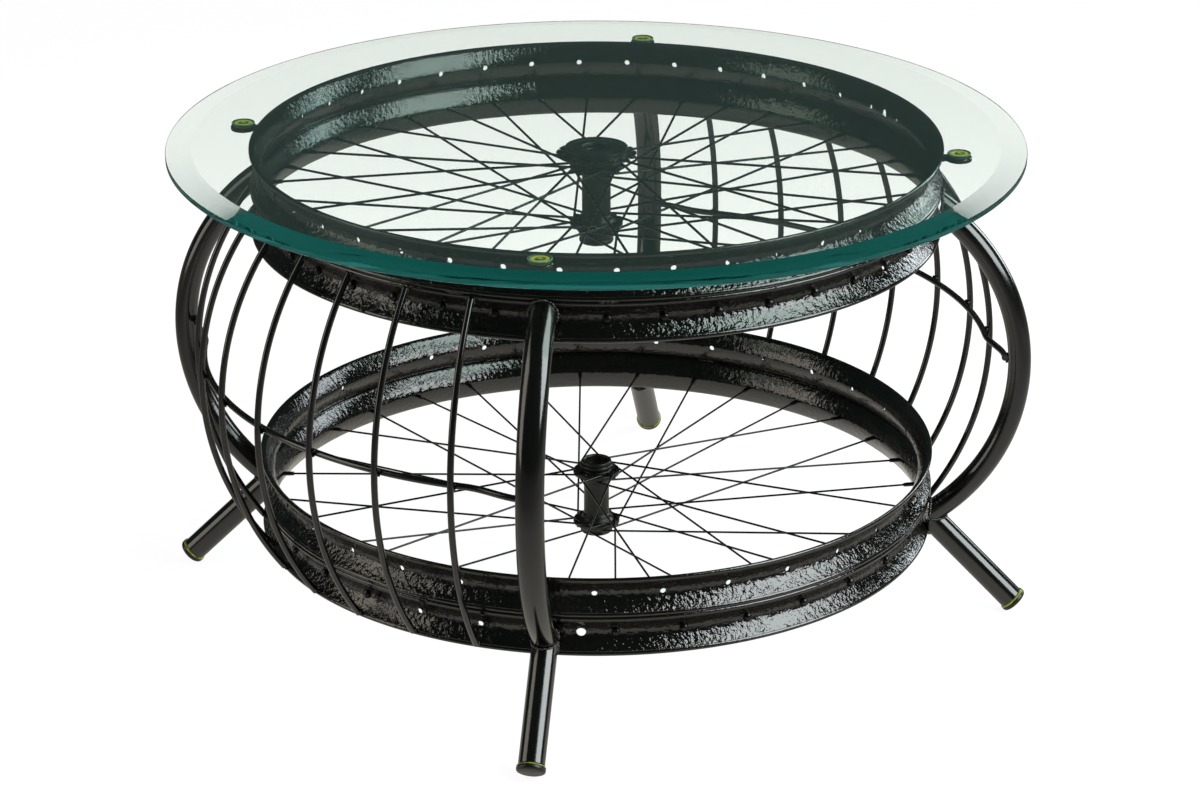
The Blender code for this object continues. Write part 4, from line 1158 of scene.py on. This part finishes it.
# The floor through the glass: painted shade makes it a little grey under the table, white beyond it
PAPER_PAINTED_SHADE_UNDER_GLASS = 0.88
PAPER_IN_GLASS = 1.50
UNDER_DISTANCE = 0.45
CLEAR_DISTANCE = 0.75


def seen_through(tree, path):
    """1 for a ray that came through the glass without being mirrored on its way."""
    straight = add_node(tree, "ShaderNodeMath", {
        0: path.outputs["Glossy Depth"], 1: 0.5}, operation="LESS_THAN")
    return add_node(tree, "ShaderNodeMath", {
        0: path.outputs["Is Transmission Ray"], 1: straight}, operation="MULTIPLY")


paper, tree, shader = new_material("white_paper_floor", "#f4f4f4", 0.9, PAINT_IOR)
path = add_node(tree, "ShaderNodeLightPath")
seen = add_node(tree, "ShaderNodeMath", {
    0: path.outputs["Is Camera Ray"], 1: path.outputs["Is Glossy Ray"]}, operation="MAXIMUM")
seen_too = add_node(tree, "ShaderNodeMath", {
    0: seen, 1: path.outputs["Is Transmission Ray"]}, operation="MAXIMUM")
share = add_node(tree, "ShaderNodeMath", {0: seen_too, 1: 1 - SHADOW_SHARE}, operation="MULTIPLY")
place = add_node(tree, "ShaderNodeTexCoord").outputs["Object"]
away = add_node(tree, "ShaderNodeVectorMath", {0: place}, operation="LENGTH")
# Painted pool of light on the floor, as reflections see it
mirrored = add_node(tree, "ShaderNodeMapRange", {
    "Value": away, "From Min": NEAR_DISTANCE, "From Max": FAR_DISTANCE,
    "To Min": PAINTED_POOL_NEAR, "To Max": PAINTED_POOL_FAR})
trapped = add_node(tree, "ShaderNodeMath", {
    0: mirrored, 1: TRAPPED_SHARE, 2: TRAPPED_LEVEL}, operation="MULTIPLY_ADD")
bounced = add_node(tree, "ShaderNodeMix", {
    "Factor": path.outputs["Is Transmission Ray"], "A": mirrored, "B": trapped}, data_type="FLOAT")
# Painted shade under the table on the floor seen through the glass
in_glass_painted_shade = add_node(tree, "ShaderNodeMapRange", {
    "Value": away, "From Min": UNDER_DISTANCE, "From Max": CLEAR_DISTANCE,
    "To Min": PAPER_PAINTED_SHADE_UNDER_GLASS, "To Max": PAPER_IN_GLASS})
level = add_node(tree, "ShaderNodeMix", {
    "Factor": seen_through(tree, path), "A": bounced, "B": in_glass_painted_shade}, data_type="FLOAT")
shown = add_node(tree, "ShaderNodeMix", {
    "Factor": path.outputs["Is Camera Ray"], "A": level, "B": PAPER_WHITE}, data_type="FLOAT")
in_paint = add_node(tree, "ShaderNodeMath", {
    0: path.outputs["Is Glossy Ray"], 1: path.outputs["Is Transmission Ray"]},
    operation="SUBTRACT", use_clamp=True)
# The paint mirrors the floor with a warm painted tint
warm = add_node(tree, "ShaderNodeMix", {
    "Factor": in_paint, "A": linear("#ffffff"), "B": linear(PAPER_TINT)}, data_type="RGBA")
white = add_node(tree, "ShaderNodeEmission", {"Color": warm, "Strength": shown})
mixed = add_node(tree, "ShaderNodeMixShader", {0: share, 1: shader, 2: white})
feed(tree, tree.nodes["Material Output"], {"Surface": mixed})
floor_mesh.materials.append(paper)

# %% [markdown]
# ## Studio light
# The studio beyond the floor is white to the camera and dim in reflections, with some fill for matt surfaces.
# Three soft boxes draw the highlights: a large one on the right, a narrow one behind on the right and a weak
# one on the left. Their light leaves out the glass, which would otherwise mirror their hard edges.

# %% Studio world
STUDIO_WHITE = 1.0
STUDIO_DIM = 0.05
STUDIO_TRAPPED = 0.18
STUDIO_FILL = 0.30
STUDIO_TINT = "#c4efe8"

world = bpy.data.worlds.new("studio")
scene.world = world
world.use_nodes = True
tree = world.node_tree
path = add_node(tree, "ShaderNodeLightPath")
clear = add_node(tree, "ShaderNodeMath", {
    0: seen_through(tree, path), 1: path.outputs["Is Camera Ray"]}, operation="MAXIMUM")
lit = add_node(tree, "ShaderNodeMix", {
    "Factor": path.outputs["Is Diffuse Ray"], "A": STUDIO_DIM, "B": STUDIO_FILL}, data_type="FLOAT")
caught = add_node(tree, "ShaderNodeMix", {
    "Factor": path.outputs["Is Transmission Ray"], "A": lit, "B": STUDIO_TRAPPED}, data_type="FLOAT")
strength = add_node(tree, "ShaderNodeMix", {
    "Factor": clear, "A": caught, "B": STUDIO_WHITE}, data_type="FLOAT")
tint = add_node(tree, "ShaderNodeMix", {
    "Factor": path.outputs["Is Glossy Ray"], "A": linear("#ffffff"), "B": linear(STUDIO_TINT)},
    data_type="RGBA")
feed(tree, tree.nodes["Background"], {"Strength": strength, "Color": tint})
print("world", world.name, "with", len(tree.nodes), "nodes")

# %% Soft boxes
# (name, azimuth, distance, height of the middle, width, height, radiance, colour)
SOFT_BOXES = [
    ("box_right", 346.0, 2.1, 1.70, 1.70, 2.10, 6.9, "#f4fbfb"),
    ("box_behind", 43.0, 1.34, 0.80, 0.42, 1.00, 6.0, "#f2fbff"),
    ("box_left", 201.0, 2.3, 1.00, 1.20, 1.90, 1.9, "#fbf3e4"),
]
BOX_AIM = Vector((0, 0, 0.35))

not_glass = bpy.data.collections.new("all_but_the_glass")
not_glass.objects.link(glass_piece)
not_glass.collection_objects[0].light_linking.link_state = "EXCLUDE"
for name, azimuth, distance, height, width, tall, radiance, colour in SOFT_BOXES:
    lamp = bpy.data.lights.new(name, "AREA")
    lamp.shape = "RECTANGLE"
    lamp.size = width
    lamp.size_y = tall
    lamp.energy = radiance * math.pi * width * tall
    lamp.color = linear(colour)[:3]
    box = bpy.data.objects.new(name, lamp)
    box.location = at_turn(distance, math.radians(azimuth), height)
    box.rotation_euler = (BOX_AIM - box.location).to_track_quat("-Z", "Y").to_euler()
    box.visible_camera = False
    box.light_linking.receiver_collection = not_glass
    scene.collection.objects.link(box)
print("lights", [row[0] for row in SOFT_BOXES])
